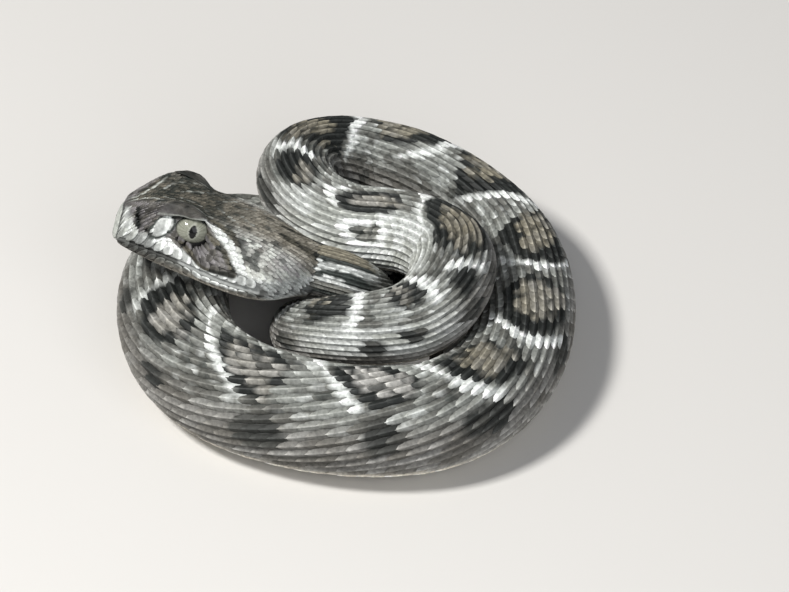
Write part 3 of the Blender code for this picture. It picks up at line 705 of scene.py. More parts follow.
def head_colour(station, way, flicker):
    """Colour of the head at a station and a way from the crown, the same on both sides: the ground,
    the jaws, then every stroke and spot over them."""
    way = np.abs(way)
    cloud = mottle(station / 1.3 + 3, way / 1.3)
    colour = with_jaws(crown_colour(station, way, flicker, cloud), station, way, flicker)
    for strokes, first, second, change, edge in HEAD_PAINT:
        for stroke in strokes:
            share = smooth_step(-edge / 2, edge / 2, stroke_depth(stroke, station, way))
            colour = mix(colour, mix(first, second, change * flicker), share)
    for x, y, radius in HEAD_SPOTS:
        depth = radius - np.hypot(station - x, 0.8 * (way - y)) + 0.9 * (cloud - 0.5)
        colour = mix(colour, CROWN_DARK, 0.75 * smooth_step(-0.2, 0.25, depth))
    return colour


# Building meshes
def enclosed_volume(mesh, points):
    """Volume inside a closed mesh: a sixth of the sum of a . (b x c) over its triangles, which is
    below nothing where the faces point inwards."""
    mesh.calc_loop_triangles()
    corners = np.empty(3 * len(mesh.loop_triangles), dtype=np.int32)
    mesh.loop_triangles.foreach_get("vertices", corners)
    a, b, c = points[corners.reshape(-1, 3)].transpose(1, 0, 2)
    return (a * np.cross(b, c)).sum() / 6


def new_mesh(name, points, faces, colours, bake_uv):
    """An object from points in millimetres, quads and caps, a colour for every point, and the place
    of every point on the bake map. Faces are turned to point outwards."""
    mesh = bpy.data.meshes.new(name)
    mesh.from_pydata(points * MM, [], faces)
    if enclosed_volume(mesh, points) < 0:
        mesh.flip_normals()
    attribute = mesh.color_attributes.new("marking", "FLOAT_COLOR", "POINT")
    rgba = np.concatenate([colours, np.ones((len(colours), 1))], axis=1).astype(np.float32)
    attribute.data.foreach_set("color", rgba.ravel())
    loops = np.empty(len(mesh.loops), dtype=np.int32)
    mesh.loops.foreach_get("vertex_index", loops)
    layer = mesh.uv_layers.new(name="OFBake")
    layer.data.foreach_set("uv", bake_uv[loops].astype(np.float32).ravel())
    mesh.shade_smooth()
    obj = bpy.data.objects.new(name, mesh)
    bpy.context.scene.collection.objects.link(obj)
    return obj


def tube_faces(rows, sides):
    """Quads of a tube of `rows` rings with `sides` points each."""
    ring, side = np.meshgrid(np.arange(rows - 1), np.arange(sides), indexing="ij")
    following = (side + 1) % sides
    quads = np.stack([ring * sides + side, (ring + 1) * sides + side,
                      (ring + 1) * sides + following, ring * sides + following], axis=-1)
    return quads.reshape(-1, 4)


def tube_caps(rows, sides):
    """The first ring and the last ring of a tube as faces."""
    return np.arange(sides), (rows - 1) * sides + np.arange(sides)[::-1]


def new_tube(name, points, colours, bake_uv):
    """One closed tube as an object, from a grid of rings with a cap on each end."""
    rows, sides = points.shape[:2]
    faces = tube_faces(rows, sides).tolist() + [cap.tolist() for cap in tube_caps(rows, sides)]
    return new_mesh(name, points.reshape(-1, 3), faces, colours.reshape(-1, 3),
                    bake_uv.reshape(-1, 2))


def map_place(share, height):
    """Places on the bake map's unwrap of the skin: `share` of the piece's length from left to right,
    and `height` over the middle of the map."""
    return np.stack([MAP_MARGIN + (1 - 2 * MAP_MARGIN) * share, 0.5 + height], axis=-1)


# One scale, root to tip and edge to edge; the last side is the underside
SCALE_RINGS = np.array([0.0, 0.2, 0.45, 0.7, 0.9, 1.0])
SCALE_SIDES = np.array([-1.0, -0.62, -0.17, 0.0, 0.17, 0.62, 1.0, 0.0])
TINT_LIMIT = 0.85        # no marking is brighter than this


def scale_template(keel, dome):
    """One scale as a closed tube from root to tip: along (0 to 1), across (-1 to 1) and lift.

    Its half width is sqrt(1 - ((u - 0.42) / 0.6)^2). Its lift climbs from root to tip, falls to the
    sides as 1 - dome * w^2, and carries a narrow keel down the middle; the last point of every ring
    is the underside.
    """
    u, w = SCALE_RINGS[:, None], SCALE_SIDES[None, :]
    half_width = np.sqrt(np.maximum(1 - ((u - 0.42) / 0.6) ** 2, 0))
    climb = 0.35 + 0.65 * u ** 0.8
    ridge = keel * (w == 0) * np.sin(np.pi * np.clip(0.12 + 0.8 * u, 0, 1))
    lift = climb * (1 - dome * w ** 2) + ridge
    lift[:, -1] = climb[:, 0] - 0.8
    across = half_width * w
    along = np.broadcast_to(u, across.shape).copy()
    along[-1] -= 0.10 * np.abs(w[0])
    return along, across, lift


def scale_shade(along, across, keel_shade):
    """Painted shading over one scale: darker at the root as painted shade under the scale before it,
    paler along keel and rim, in part the scale's own paler edges and in part painted highlight, and a
    pale painted highlight on keel and rim that shows even where the scale is black."""
    keel = keel_shade * np.exp(-(across / 0.15) ** 2) * smooth_step(0.05, 0.35, along)
    rim = np.maximum(0.4 * smooth_step(0.5, 0.95, np.abs(across)), smooth_step(0.75, 1.0, along))
    return (0.44 + 0.40 * smooth_step(0.1, 0.5, along) + keel + 0.60 * rim,
            0.03 * keel + 0.016 * rim)


def lay_scales(name, surface, colouring, rows, template, bake_place, spread=0.5, keel_shade=0.1):
    """One mesh of many scales. Every scale is the template stretched to its own length, width and
    lift and laid on a surface at (distance, way) of its root: x = root + length * along,
    y = way + drift * along + width * across. Its colour is read at places drawn together by `spread`
    towards its middle, so that a scale on the edge of a marking is nearly of one colour."""
    root, way, length, width, lift, drift, base = [column[:, None, None] for column in rows]
    along, across, height = template
    count, sides = along.shape
    x = root + length * along
    y = way + drift * along + width * across
    points = surface(x, y, base + lift * height)
    reach = along.mean()
    middle_x, middle_y = root + reach * length, way + reach * drift
    flicker = np.broadcast_to(rng.random(len(root))[:, None, None], x.shape)
    tint = colouring(middle_x + spread * (x - middle_x), middle_y + spread * (y - middle_y), flicker)
    # painted shade and highlight laid into every scale's colour: darker root, paler keel and rim
    shade, painted_highlight = scale_shade(along, across, keel_shade)
    tint = np.minimum(tint * shade[None, :, :, None] + painted_highlight[None, :, :, None], TINT_LIMIT)
    start = (np.arange(len(root)) * count * sides)[:, None]
    faces = (tube_faces(count, sides)[None] + start[..., None]).reshape(-1, 4).tolist()
    for cap in tube_caps(count, sides):
        faces += (cap + start).tolist()
    patch = np.stack([along - 0.5, 0.5 * across], axis=-1) * PATCH_SIZE
    uv = bake_place[:, None, None, :] + patch[None]
    return new_mesh(name, points.reshape(-1, 3), faces, tint.reshape(-1, 3), uv.reshape(-1, 2))


# Scales of the body
# Turn of the scale rows round the body, in degrees, at distances from the nape
ROW_TURN = [(0, 0), (60, 0), (100, 0), (112, 0), (120, -10), (130, -36), (140, -66), (150, -96),
            (160, -126), (168, -146), (176, -156), (186, -160), (224, -160)]
ROW_NUMBERS = np.arange(-16, 31)   # enough rows to cover the body wherever they turn
LATTICE_STEP = 0.05      # step in which the pitches along the body are counted
TAIL_CLEARANCE = 0.6     # the last scales begin this far ahead of the tail's end
BODY_CUTS = [-1, 78, 124, 168, BODY_LENGTH]   # distances where one mesh of body scales ends
BODY_MAP_ANGLE = 400     # degrees round the body over the bake map's height
BELLY_MAP_HEIGHT = 0.45  # where the belly plates lie over the middle of the bake map
BELLY_OVERLAP = 6        # degrees by which belly plates reach under the flanks' scales
BELLY_LIFT = 0.04        # height of a belly plate, as a share of the girth radius


def lattice():
    """Roots of the body's scales: row k lies at k * ROW_ANGLE plus the turn, its scales stand one
    pitch apart, and every second row is half a pitch further on."""
    places = np.arange(0, BODY_LENGTH, LATTICE_STEP)
    pitch = SCALE_PITCH * girth_radius(places)
    counted = counted_steps(places, pitch)
    turn = spline(ROW_TURN, PROFILE_DETAIL)

    def row_turn(distance):
        """Degrees by which the rows have turned at a distance from the nape."""
        return np.interp(distance, turn[:, 0], turn[:, 1]) + nape_turn(distance)

    k, i = np.meshgrid(ROW_NUMBERS, np.arange(0, int(counted[-1])), indexing="ij")
    distance = np.interp(i + 0.5 * (k % 2), counted, places)
    angle = k * ROW_ANGLE + row_turn(distance)
    keep = (np.abs(angle) < BELLY_EDGE) & (distance < BODY_LENGTH - TAIL_CLEARANCE)
    return distance[keep], angle[keep], np.interp(distance[keep], places, pitch), row_turn


def make_body_scales():
    """The keeled scales of the back and sides, in meshes of under 200,000 triangles."""
    distance, angle, pitch, row_turn = lattice()
    length = SCALE_LENGTH * pitch * (1 + 0.08 * (rng.random(len(distance)) - 0.5))
    width = SCALE_WIDTH * ROW_ANGLE * (1 + 0.18 * smooth_step(60, 100, np.abs(angle)))
    lift = SCALE_LIFT * girth_radius(distance) * (1 + 0.15 * (rng.random(len(distance)) - 0.5))
    root = distance - ROOT_BACK * length
    drift = row_turn(root + length) - row_turn(root)
    place = map_place(distance / BODY_LENGTH, angle / BODY_MAP_ANGLE)
    rows = [root, angle, length, width, lift, drift, -1.1 * lift]
    keeled = scale_template(keel=0.48, dome=0.9)
    pieces = []
    for number, (start, stop) in enumerate(zip(BODY_CUTS[:-1], BODY_CUTS[1:]), 1):
        pick = (distance >= start) & (distance < stop)
        pieces.append(lay_scales(f"scales_body_{number}", body_surface, body_colour,
                                 [row[pick] for row in rows], keeled, place[pick], keel_shade=0.75))
    return pieces


def make_belly_plates():
    """The broad plates under the belly, one for each scale of a row: a closed tube from root to rear
    edge, spread over the belly's whole width."""
    distance, angle = lattice()[:2]
    places = np.unique(distance[np.abs(angle) < ROW_ANGLE])[::2]
    pitch = SCALE_PITCH * girth_radius(places)
    u = np.array([0.0, 0.3, 0.7, 1.0])[:, None]
    top = np.linspace(-1, 1, 13)[None, :]
    across = np.concatenate([top, [[0.6, 0.0, -0.6]]], axis=1) * np.ones_like(u)
    height = (0.2 + 0.8 * u) * (1 - 0.35 * np.abs(across) ** 3)
    height[:, top.size:] -= 0.6
    along = np.broadcast_to(u, across.shape) - 0.12 * (u == 1) * np.abs(across) ** 2
    half_width = np.full(len(places), 180 - BELLY_EDGE + BELLY_OVERLAP)
    lift = BELLY_LIFT * girth_radius(places)
    rows = [places - 0.4 * pitch, np.full(len(places), 180.0), 1.6 * pitch, half_width, lift,
            np.zeros(len(places)), -lift]
    place = map_place(places / BODY_LENGTH, np.full(len(places), BELLY_MAP_HEIGHT))
    return lay_scales("plates_belly", body_surface_on_floor, belly_colour, rows,
                      (along, across, height), place)


# Scales of the head
HEAD_ROW_NUMBERS = np.arange(-38, 39)
HEAD_LATTICE_STEP = 0.02
HEAD_MAP_WAY = 32        # way from the crown over the bake map's height
# Distance between rows of head scales at these stations and at the nape, smallest on the snout
ROW_GAP_AT = (0.0, 4.0, 12.0)
ROW_GAP = (0.34, 0.44, 0.54, 0.54)
HEAD_PITCH = 1.12        # distance of the scales in a row, as a share of the distance of the rows
HEAD_SCALES_FROM = 0.5   # station of the first scales, behind the snout's plate
HEAD_SCALES_TO = HEAD_LENGTH - 0.25
LABIAL_HEIGHT = 1.15     # way from the lip that its plates cover
HEAD_JITTER = 0.22       # how far a scale may lie off its place, as a share of the distance of the rows
# Round places without scales: middle and radius
OPENINGS = [(EYE_AT, EYE_RADIUS + 0.2), (NOSTRIL_AT, 0.45), (PIT_AT, 0.5)]
# Station, way, half length and half width of the brow plate and of the white plate before the eye
SUPRAOCULAR = (6.7, 5.15, 2.8, 1.25)
EYE_FRONT = (4.9, 8.0, 0.95, 1.05)
# The other plates of the head: (station, way, half length, half width, lift)
LIP_PLATES_AT = np.arange(0.9, 16.4, 1.04)
# Plates of both lips: way below the lip, half length, half width, lift
UPPER_LIP_PLATE = (-0.60, 0.56, 0.60, 0.20)
LOWER_LIP_PLATE = (0.58, 0.56, 0.58, 0.18)
SNOUT_PLATES = [(0.95, 0.55, 0.5, 0.5, 0.15), (1.0, 1.75, 0.5, 0.6, 0.16), (2.1, 1.5, 0.6, 0.5, 0.16),
                (3.2, 2.3, 0.65, 0.5, 0.17), (4.4, 3.2, 0.75, 0.6, 0.18)]
NOSE_PLATES = [(4.9, 9.1, 0.6, 0.5, 0.18), (3.2, 4.6, 0.55, 0.55, 0.16), (1.2, 3.2, 0.5, 0.7, 0.16),
               (1.3, 4.7, 0.45, 0.7, 0.16)]
EYE_RING_COUNT = 15
EYE_RING_SHIFT = 0.13
EYE_RING_SIZE = (2.4, 1.62)   # half length and half height of the ring of plates round the eye
BROW_LIFT = 0.6
PLATE_POWER = 2.4        # a plate's outline is |u|^power + |w|^power = 1


def head_scale_gap(station):
    """Distance between rows of head scales at each station."""
    return np.interp(station, (*ROW_GAP_AT, HEAD_LENGTH), ROW_GAP)


def eye_place():
    """Station and way of the head's surface point that lies straight outside the eye."""
    gap = np.linalg.norm((HEAD_POINTS - (EYE_AT[0], EYE_AT[1] + EYE_RADIUS, EYE_AT[2])), axis=2)
    row, column = np.unravel_index(gap.argmin(), gap.shape)
    return HEAD_STATIONS[row], (column - WAY_MIDDLE) * WAY_STEP


def beside(points, at):
    """Distance of head-frame points from a place on their own side, measured flat along the side of
    the head, and large on the other half of the section."""
    away = np.hypot(points[..., 0] - at[0], points[..., 2] - at[2])
    return away + 9.0 * (np.abs(points[..., 1]) < 0.55 * at[1])


def head_lattice():
    """Places of the head's scales: rows from the nape forwards, one gap apart from the crown down,
    without lips, eyes, nostrils, pits and the larger plates."""
    places = np.arange(0.0, HEAD_LENGTH, HEAD_LATTICE_STEP)
    counted = counted_steps(places, HEAD_PITCH * head_scale_gap(HEAD_LENGTH - places))
    k, i = np.meshgrid(HEAD_ROW_NUMBERS, np.arange(0, int(counted[-1]) + 1), indexing="ij")
    station = HEAD_LENGTH - np.interp(i - 0.5 * (k % 2), counted, places)
    gap = head_scale_gap(station)
    way = k * gap
    side = np.abs(way)
    labial = LABIAL_HEIGHT * window(0.3, 2.0, 16.2, 17.4, station)
    above = side < way_of(LIP_WAY, station) - labial
    below = side > way_of(LOWER_LIP_WAY, station) + labial
    keep = (side < way_of(CHIN_WAY, station) + 0.2) & (above | below)
    keep &= (station > HEAD_SCALES_FROM) & (station < HEAD_SCALES_TO)
    points = read_head(HEAD_POINTS, station, way)
    for at, reach in OPENINGS:
        keep &= beside(points, at) > reach
    for place, at, half_length, half_width in (SUPRAOCULAR, EYE_FRONT):
        keep &= np.hypot((station - place) / half_length, (side - at) / half_width) > 0.9
    return station[keep], way[keep], gap[keep]


def make_head_scales():
    """Small overlapping scales over crown, cheeks and throat, in rows that spread with the head."""
    station, way, gap = head_lattice()
    station = station + HEAD_JITTER * gap * (rng.random(len(gap)) - 0.5)
    way = way + HEAD_JITTER * gap * (rng.random(len(gap)) - 0.5)
    length = (SCALE_LENGTH + 0.3 * rng.random(len(gap))) * gap
    under = np.abs(way) > way_of(LIP_WAY, station)
    lift = np.where(under, 0.11, 0.16) * (0.7 + 0.6 * rng.random(len(station)))
    lift = lift * (0.5 + 0.5 * smooth_step(0.5, 3.0, station))
    root = station - ROOT_BACK * length
    drift = way * (head_scale_gap(root + length) / head_scale_gap(root) - 1)
    rows = [root, way, length, SCALE_WIDTH * gap, lift, drift, -1.0 * lift]
    place = map_place(station / HEAD_LENGTH, way / HEAD_MAP_WAY)
    return lay_scales("scales_head", head_surface, head_colour, rows,
                      scale_template(keel=0.35, dome=0.7), place)


def plate_template(rows=14, columns=15):
    """One plate as a closed tube: a rounded square |u|^power + |w|^power = 1, slightly domed, whose
    rim falls to the skin."""
    u = np.sin(np.linspace(-1, 1, rows) * np.pi / 2)[:, None] * 0.999
    w = np.concatenate([np.sin(np.linspace(-1, 1, columns) * np.pi / 2), [0.0]])[None, :]
    rim = np.maximum(np.abs(u), np.abs(w))
    lift = (1 - 0.25 * (u ** 2 + w ** 2) / 2) * (1 - 0.6 * smooth_step(0.85, 1.0, rim))
    lift[:, -1] = -0.4
    return np.broadcast_to(u, (rows, columns + 1)) + 0 * w, plate_half_width(u) * w, lift


def plate_half_width(u):
    """Half width of a plate at each place along it: (1 - |u|^power)^(1 / power)."""
    return (1 - np.abs(u) ** PLATE_POWER) ** (1 / PLATE_POWER)


def brow_template(side):
    """The brow plate: low towards the crown, climbing to a lip that overhangs the eye, and falling to
    the skin at its front and rear end."""
    u, across, lift = plate_template()
    half_width = np.maximum(plate_half_width(u), 0.01 ** (1 / PLATE_POWER))
    climb = 0.3 + 0.7 * smooth_step(-0.5, 0.8, side * across / half_width)
    lift = climb * (1 - 0.85 * smooth_step(0.6, 1.0, -u)) * (1 - 0.85 * smooth_step(0.25, 0.95, u))
    lift[:, -1] = -0.3
    return u, across, lift


def make_brow_plates():
    """The large plate over each eye."""
    station, way, half_length, half_width = SUPRAOCULAR
    pieces = []
    for side, name in ((-1, "left"), (1, "right")):
        rows = [np.array([value]) for value in (station, side * way, half_length, half_width,
                                                BROW_LIFT, -0.7 * side, -0.1)]
        place = map_place(np.array([station / HEAD_LENGTH]), np.array([side * way / HEAD_MAP_WAY]))
        pieces.append(lay_scales(f"plate_brow_{name}", head_surface, head_colour, rows,
                                 brow_template(side), place, spread=1.0))
    return pieces


# The plate on the snout: station and lift of each of its rings
SNOUT_PLATE = [(0.0, 0.12), (0.08, 0.13), (0.18, 0.13), (0.27, 0.10), (0.33, 0.02), (0.33, -0.10),
               (0.0, -0.10)]
SNOUT_PLATE_SIDES = 28


def make_snout_plate():
    """The plate on the front of the snout: rings round the tip at growing stations, lifted off the
    skin and turned in under their own rim."""
    station, lift = np.array(SNOUT_PLATE).T[:, :, None]
    around = (np.arange(SNOUT_PLATE_SIDES) * 2 / SNOUT_PLATE_SIDES - 1)[None, :]
    way = way_of(CHIN_WAY, station) * around
    points = head_surface(station + 0 * around, way, lift + 0 * around)
    colours = np.ones(points.shape) * PALE * 1.1
    turn = math.pi * around
    patch = np.stack([station * np.cos(turn), station * np.sin(turn)], axis=-1) / station.max()
    return new_tube("plate_snout", points, colours,
                    np.array([0.01, 0.5]) + 0.5 * PATCH_SIZE * patch)


def make_head_plates():
    """The smaller plates of the head on both sides: lips, snout and the ring round each eye. A plate
    is (station, way, half length, half width, lift)."""
    plates = []
    for places, rail_way, (below, *size) in ((LIP_PLATES_AT, LIP_WAY, UPPER_LIP_PLATE),
                                             (LIP_PLATES_AT + 0.4, LOWER_LIP_WAY, LOWER_LIP_PLATE)):
        plates += [(station, way_of(rail_way, station) + below, *size) for station in places]
    plates += [*SNOUT_PLATES, (*EYE_FRONT, 0.5), *NOSE_PLATES]
    eye_station, eye_way = eye_place()
    for turn in np.arange(EYE_RING_COUNT) * 2 * math.pi / EYE_RING_COUNT:
        station = eye_station + EYE_RING_SHIFT + EYE_RING_SIZE[0] * math.cos(turn)
        way = eye_way + EYE_RING_SIZE[1] * math.sin(turn)
        if way > SUPRAOCULAR[1] + SUPRAOCULAR[3] - 0.1:
            plates.append((station, way, 0.38, 0.46, 0.24 + 0.22 * max(0.0, math.sin(turn))))
    station, way, half_length, half_width, lift = np.concatenate([plates, plates]).T
    way = way * np.repeat([1, -1], len(plates))
    rows = [station, way, half_length, half_width, lift, np.zeros(len(station)), -0.9 * lift]
    place = map_place(station / HEAD_LENGTH, way / HEAD_MAP_WAY)
    return lay_scales("plates_head", head_surface, head_colour, rows, plate_template(), place,
                      spread=0.95)


# Skin
# painted shade: the skin in the gaps between and under the scales is painted this much darker
SKIN_SHADE = 0.3         # the skin between the scales is this dark beside them
SOCKET_FLOOR = 0.35      # the floor of an eye socket, out from the middle of the eye
UNCUT = 9.0              # beyond the rim of the socket the skin is cut only this much further out
# Reach and depth of the dents of nostril and heat pit
NOSTRIL_SIZE = (0.62, 0.7)
PIT_SIZE = (0.7, 0.8)


def dent(points, at, reach, depth):
    """Points of the head's frame near a place on either side, pressed in by a rounded pit of
    depth * (1 - (d / reach)^2)."""
    side = np.sign(points[..., 1:2])
    centre = np.array(at) * np.concatenate([np.ones_like(side), side, np.ones_like(side)], axis=-1)
    away = np.linalg.norm(points - centre, axis=-1, keepdims=True)
    press = depth * np.clip(1 - (away / reach) ** 2, 0, 1)
    return points - press * side * (0, 1, 0)


def make_skin():
    """One skin from snout to tail: the head's sections, then the body's rings with the same columns,
    inside the tips of the scales by the coat's depth."""
    stations = np.concatenate([SNOUT_ROUNDING * np.linspace(0, 1, SNOUT_RINGS) ** 2,
                               np.linspace(SNOUT_ROUNDING, HEAD_LENGTH, HEAD_RINGS)[1:]])
    half = head_sections(stations, RAIL_COLUMNS)
    sections = np.concatenate([half, half[:, -2:0:-1] * (1, -1, 1)], axis=1)
    following, before = np.roll(sections, -1, axis=1), np.roll(sections, 1, axis=1)
    normals = unit(np.cross(np.gradient(sections, axis=0), following - before))
    depth = np.interp(stations, (*HEAD_SKIN_AT, HEAD_LENGTH), HEAD_SKIN_DEPTH)
    sections = sections - turned_outward(normals, sections) * depth[:, None, None]
    sections[0] = sections[1] * 0.2 + sections[0] * 0.8
    away = beside(sections, EYE_AT + np.array(EYE_SHIFT)) / EYE_WIDENING
    rim = smooth_step(EYE_RADIUS - 0.05, EYE_RADIUS + 0.3, away)
    depth = EYE_AT[1] + SOCKET_FLOOR + UNCUT * rim
    sections[..., 1] = np.clip(sections[..., 1], -depth, depth)
    sections = dent(dent(sections, NOSTRIL_AT, *NOSTRIL_SIZE), PIT_AT, *PIT_SIZE)
    way = way_along(half)
    way = np.concatenate([way, -way[:, -2:0:-1]], axis=1)
    even = 0.5 + 0 * rng.random(way.shape)
    head_tint = head_colour(np.broadcast_to(stations[:, None], way.shape), way, even)
    places = np.arange(BODY_RING_STEP, BODY_LENGTH, BODY_RING_STEP)
    s, a = np.meshgrid(places, -180.0 * way[-1] / np.abs(way[-1]).max(), indexing="ij")
    a = a + nape_turn(s)
    depth = SKIN_DEPTH * girth_radius(places)
    body_points = body_surface(s, a, -depth[:, None] + 0 * a)
    body_points[..., 2] = np.maximum(body_points[..., 2], FLOOR_SKIN)
    points = np.concatenate([head_to_world(sections), body_points])
    # painted shade in the gaps between the scales
    tint = np.concatenate([head_tint, body_colour(s, a, 0.5 + 0 * a)]) * SKIN_SHADE
    rows, sides = points.shape[:2]
    v, u = np.meshgrid(np.arange(sides) / sides, np.linspace(0.005, 0.995, rows))
    return new_tube("skin", points, tint, np.stack([u, 0.005 + 0.99 * v], axis=-1))


# Eyes and rattle
PUPIL = (0.40, 0.9)      # half width and half height of the slit pupil
PUPIL_SHIFT = (-0.05, 0.1)
EYE_WIDENING = 1.17      # length of the eye's opening, as a share of the eyeball's height in the solids
EYE_FLATTENING = 0.93
EYE_SHIFT = (0.13, 0.0, 0.13)
EYE_SHRINKING = 0.985    # the eyeball stays this much inside the solids' own
IRIS_DARK = np.array([0.17, 0.175, 0.14])
IRIS_LIGHT = np.array([0.29, 0.30, 0.25])
IRIS_RING = np.array([0.40, 0.41, 0.36])      # round the pupil
PUPIL_BLACK = np.array([0.004, 0.004, 0.004])
HORN = np.array([0.16, 0.145, 0.115])
EYE_RINGS = 49
EYE_SIDES = 64
RATTLE_SIDES = 48
RATTLE_SHRINKING = 0.98


def make_eye(side, name):
    """An eyeball: a sphere of rings round the axis that looks out sideways, with the pupil, the iris
    and its dark rim in its colours."""
    ring, turn = np.meshgrid(np.linspace(0.0, math.pi, EYE_RINGS),
                             np.arange(EYE_SIDES) * 2 * math.pi / EYE_SIDES, indexing="ij")
    x = np.sin(ring) * np.cos(turn)
    z = np.sin(ring) * np.sin(turn)
    y = np.cos(ring)
    ball = np.stack([x * EYE_WIDENING, y * side, z * EYE_FLATTENING], axis=-1)
    points = ball * EYE_RADIUS * EYE_SHRINKING
    away = np.hypot(x, z) * EYE_RADIUS
    px, pz = x * EYE_RADIUS + PUPIL_SHIFT[0], z * EYE_RADIUS - PUPIL_SHIFT[1]
    narrowing = 1 - 0.35 * np.clip(np.abs(pz) / PUPIL[1], 0, 1) ** 2
    slit = np.hypot(px / (PUPIL[0] * narrowing), pz / PUPIL[1])
    fibre = 0.5 + 0.5 * np.sin(turn * 23 + 2 * np.sin(turn * 7))
    iris = mix(IRIS_DARK, IRIS_LIGHT, 0.7 * fibre)
    iris = mix(iris, IRIS_RING, 0.6 * (1 - smooth_step(0.95, 1.5, slit)))
    iris = mix(iris, BLACK, smooth_step(1.38, 1.62, away))
    colour = mix(PUPIL_BLACK + 0 * iris, iris, smooth_step(0.92, 1.0, slit))
    colour = np.where((y < 0.1)[..., None], BLACK, colour)
    world = head_to_world(points + (np.array(EYE_AT) + EYE_SHIFT) * (1, side, 1))
    uv = np.stack([0.5 + 0.45 * x * np.where(y > 0, 1, 1.05), 0.5 + 0.45 * z], axis=-1)
    return new_mesh(name, world.reshape(-1, 3), tube_faces(*ring.shape)[:, ::side].tolist(),
                    colour.reshape(-1, 3), uv.reshape(-1, 2))


def make_rattle():
    """The rattle: its profile turned round the line of the tail and flattened from side to side, with
    a lengthwise furrow on each side, and painted shade in the waists between its segments."""
    tip, back, side, along = [BODY[-1][columns] for columns in (CENTRE, BACK, SIDE, ALONG)]
    reach, radius = spline(RATTLE_PROFILE, PROFILE_DETAIL).T
    turn = np.arange(RATTLE_SIDES) * 2 * math.pi / RATTLE_SIDES
    furrow = 1 - 0.10 * np.exp(-(np.cos(turn) / 0.25) ** 2)
    ring = radius[:, None] * furrow[None, :] * RATTLE_SHRINKING
    points = (tip + (reach[:, None] + GAP)[..., None] * along
              + (ring * np.sin(turn) * RATTLE_FLATTENING)[..., None] * side
              + (ring * np.cos(turn))[..., None] * back)
    # painted shade: the narrow waists between the segments are darker
    shade = 0.55 + 0.6 * smooth_step(1.0, 1.45, radius)
    colours = HORN * shade[:, None, None] * np.ones((1, len(turn), 1))
    rows, sides = ring.shape
    v, u = np.meshgrid(np.arange(sides) / sides, np.linspace(0.02, 0.98, rows))
    return new_tube("rattle_horn", points, colours, np.stack([u, v], axis=-1))


# Materials
def marked_material(name, roughness, grain, grain_size, bump, specular=0.3, coat=0.0):
    """A finish whose colour is the marking attribute, broken by a fine grain, with a fine bump and
    uneven gloss."""
    material = bpy.data.materials.new(name)
    material.use_nodes = True
    nodes, links = material.node_tree.nodes, material.node_tree.links
    shader = nodes["Principled BSDF"]
    marking = nodes.new("ShaderNodeAttribute")
    marking.attribute_name = "marking"
    place = nodes.new("ShaderNodeTexCoord")
    noise = nodes.new("ShaderNodeTexNoise")
    noise.inputs["Scale"].default_value = 1 / (grain_size * MM)
    noise.inputs["Detail"].default_value = 4.0
    links.new(place.outputs["Object"], noise.inputs["Vector"])
    spread = nodes.new("ShaderNodeMapRange")
    spread.inputs["From Min"].default_value = 0.3
    spread.inputs["From Max"].default_value = 0.7
    spread.inputs["To Min"].default_value = 1 - grain
    spread.inputs["To Max"].default_value = 1 + grain
    links.new(noise.outputs["Fac"], spread.inputs["Value"])
    tint = nodes.new("ShaderNodeVectorMath")
    tint.operation = "SCALE"
    links.new(marking.outputs["Color"], tint.inputs[0])
    links.new(spread.outputs["Result"], tint.inputs["Scale"])
    links.new(tint.outputs["Vector"], shader.inputs["Base Color"])
    gloss = nodes.new("ShaderNodeMapRange")
    gloss.inputs["To Min"].default_value = roughness - 0.08
    gloss.inputs["To Max"].default_value = roughness + 0.12
    links.new(noise.outputs["Fac"], gloss.inputs["Value"])
    links.new(gloss.outputs["Result"], shader.inputs["Roughness"])
    shader.inputs["Specular IOR Level"].default_value = specular
    if bump:
        fine = nodes.new("ShaderNodeTexNoise")
        fine.inputs["Scale"].default_value = 6 / (grain_size * MM)
        fine.inputs["Detail"].default_value = 2.0
        links.new(place.outputs["Object"], fine.inputs["Vector"])
        relief = nodes.new("ShaderNodeBump")
        relief.inputs["Strength"].default_value = bump
        relief.inputs["Distance"].default_value = 0.05 * MM
        links.new(fine.outputs["Fac"], relief.inputs["Height"])
        links.new(relief.outputs["Normal"], shader.inputs["Normal"])
    if coat:
        shader.inputs["Coat Weight"].default_value = coat
        shader.inputs["Coat Roughness"].default_value = 0.03
    return material


def plain_material(name, colour, roughness):
    """The floor's finish: one even colour."""
    material = bpy.data.materials.new(name)
    material.use_nodes = True
    shader = material.node_tree.nodes["Principled BSDF"]
    shader.inputs["Base Color"].default_value = (*colour, 1)
    shader.inputs["Roughness"].default_value = roughness
    return material


# Stage, light and camera
VIEW_HEIGHT_ANGLE = math.radians(40.0)   # the camera looks down by this much
VIEW_DISTANCE = 900.0
VIEW_WIDTH = 86.7        # millimetres across the picture at the snake
LOOK_AT = (5.33, 8.97, 0.0)
SENSOR = 36.0
FLOOR_HALF = 1.5         # half the floor's width, in metres, as are the lights' places and sizes
FLOOR_COLOUR = (0.62, 0.61, 0.59)
# Lights: name, place, size, power and colour
LIGHTS = [("key", (-0.27, -0.13, 0.44), 0.09, 3.3, (1.0, 0.98, 0.95)),
          ("fill", (0.16, -0.44, 0.26), 0.40, 1.3, (0.97, 0.98, 1.0))]
SKY_COLOUR = (0.93, 0.95, 1.0, 1)
SKY_STRENGTH = 0.22


def area_light(name, place, size, power, colour):
    """A square soft light that faces the middle of the coil."""
    data = bpy.data.lights.new(name, "AREA")
    data.energy = power
    data.size = size
    data.color = colour
    obj = bpy.data.objects.new(name, data)
    bpy.context.scene.collection.objects.link(obj)
    aim(obj, np.array(place), np.zeros(3))


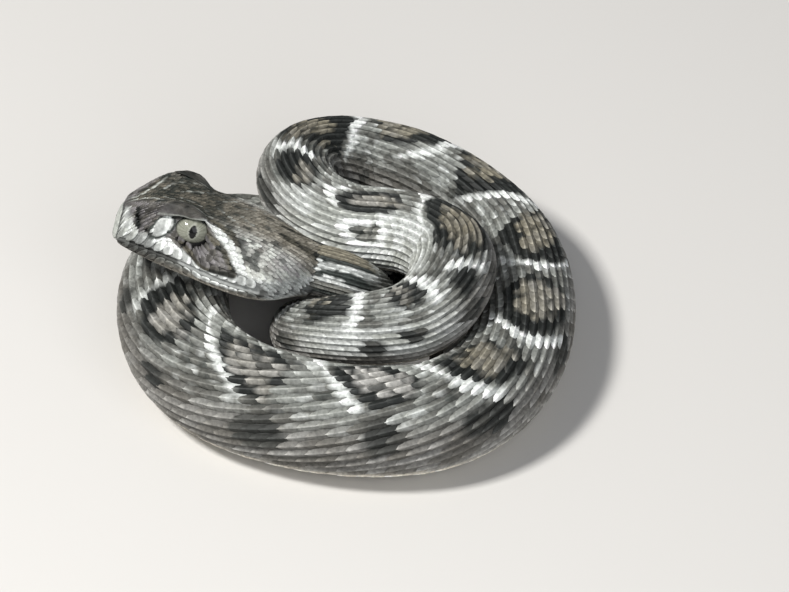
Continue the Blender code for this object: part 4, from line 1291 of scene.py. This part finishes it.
def aim(obj, place, target):
    """Put a light or camera at a place and turn its -Z at a target, its X level."""
    backward = unit(place - target)
    right = unit(np.cross((0, 0, 1), backward))
    up = np.cross(backward, right)
    matrix = np.eye(4)
    matrix[:3] = np.stack([right, up, backward, place], axis=1)
    obj.matrix_world = Matrix(matrix.tolist())


def make_stage():
    """Pale floor, soft light from the upper left, weak fill, and the photograph's camera."""
    half = FLOOR_HALF
    mesh = bpy.data.meshes.new("floor")
    mesh.from_pydata([(-half, -half, 0), (half, -half, 0), (half, half, 0), (-half, half, 0)], [],
                     [(0, 1, 2, 3)])
    floor = bpy.data.objects.new("floor", mesh)
    mesh.materials.append(plain_material("floor", FLOOR_COLOUR, 0.9))
    bpy.context.scene.collection.objects.link(floor)
    for light in LIGHTS:
        area_light(*light)
    world = bpy.data.worlds.new("studio")
    world.use_nodes = True
    background = world.node_tree.nodes["Background"]
    background.inputs["Color"].default_value = SKY_COLOUR
    background.inputs["Strength"].default_value = SKY_STRENGTH
    bpy.context.scene.world = world
    data = bpy.data.cameras.new("camera")
    data.sensor_width = SENSOR
    data.lens = SENSOR * VIEW_DISTANCE / VIEW_WIDTH
    data.clip_start = 0.01
    data.clip_end = 10
    camera = bpy.data.objects.new("camera", data)
    bpy.context.scene.collection.objects.link(camera)
    target = np.array(LOOK_AT) * MM
    direction = np.array([0, -math.cos(VIEW_HEIGHT_ANGLE), math.sin(VIEW_HEIGHT_ANGLE)])
    aim(camera, target + direction * VIEW_DISTANCE * MM, target)
    bpy.context.scene.camera = camera
    bpy.context.scene.view_settings.view_transform = "Standard"


FLESH = ["head", "neck", "body_1", "body_2", "body_3", "body_4", "body_5", "body_6", "body_7",
         "body_8", "tail"]


def main():
    """Make every piece with its finish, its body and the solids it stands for."""
    scale_finish = marked_material("scale_finish", 0.52, 0.30, 0.4, 0.35, 0.22)
    skin_finish = marked_material("skin_finish", 0.6, 0.2, 0.4, 0.4)
    eye_finish = marked_material("eye_finish", 0.32, 0.12, 0.25, 0.02, 0.08, coat=0.42)
    horn_finish = marked_material("horn_finish", 0.45, 0.15, 0.5, 0.3)
    skin = make_skin()
    skin.data.materials.append(skin_finish)
    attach(skin, "root")
    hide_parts(*FLESH)
    for piece in (*make_body_scales(), make_belly_plates(), make_head_scales(), *make_brow_plates(),
                  make_snout_plate(), make_head_plates()):
        piece.data.materials.append(scale_finish)
        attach(piece, "root")
    for side, name in ((-1, "left"), (1, "right")):
        eye = make_eye(side, f"eyeball_{name}")
        eye.data.materials.append(eye_finish)
        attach(eye, "root")
        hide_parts(f"eye_{name}")
    rattle = make_rattle()
    rattle.data.materials.append(horn_finish)
    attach(rattle, "root")
    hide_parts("rattle")
    make_stage()


main()
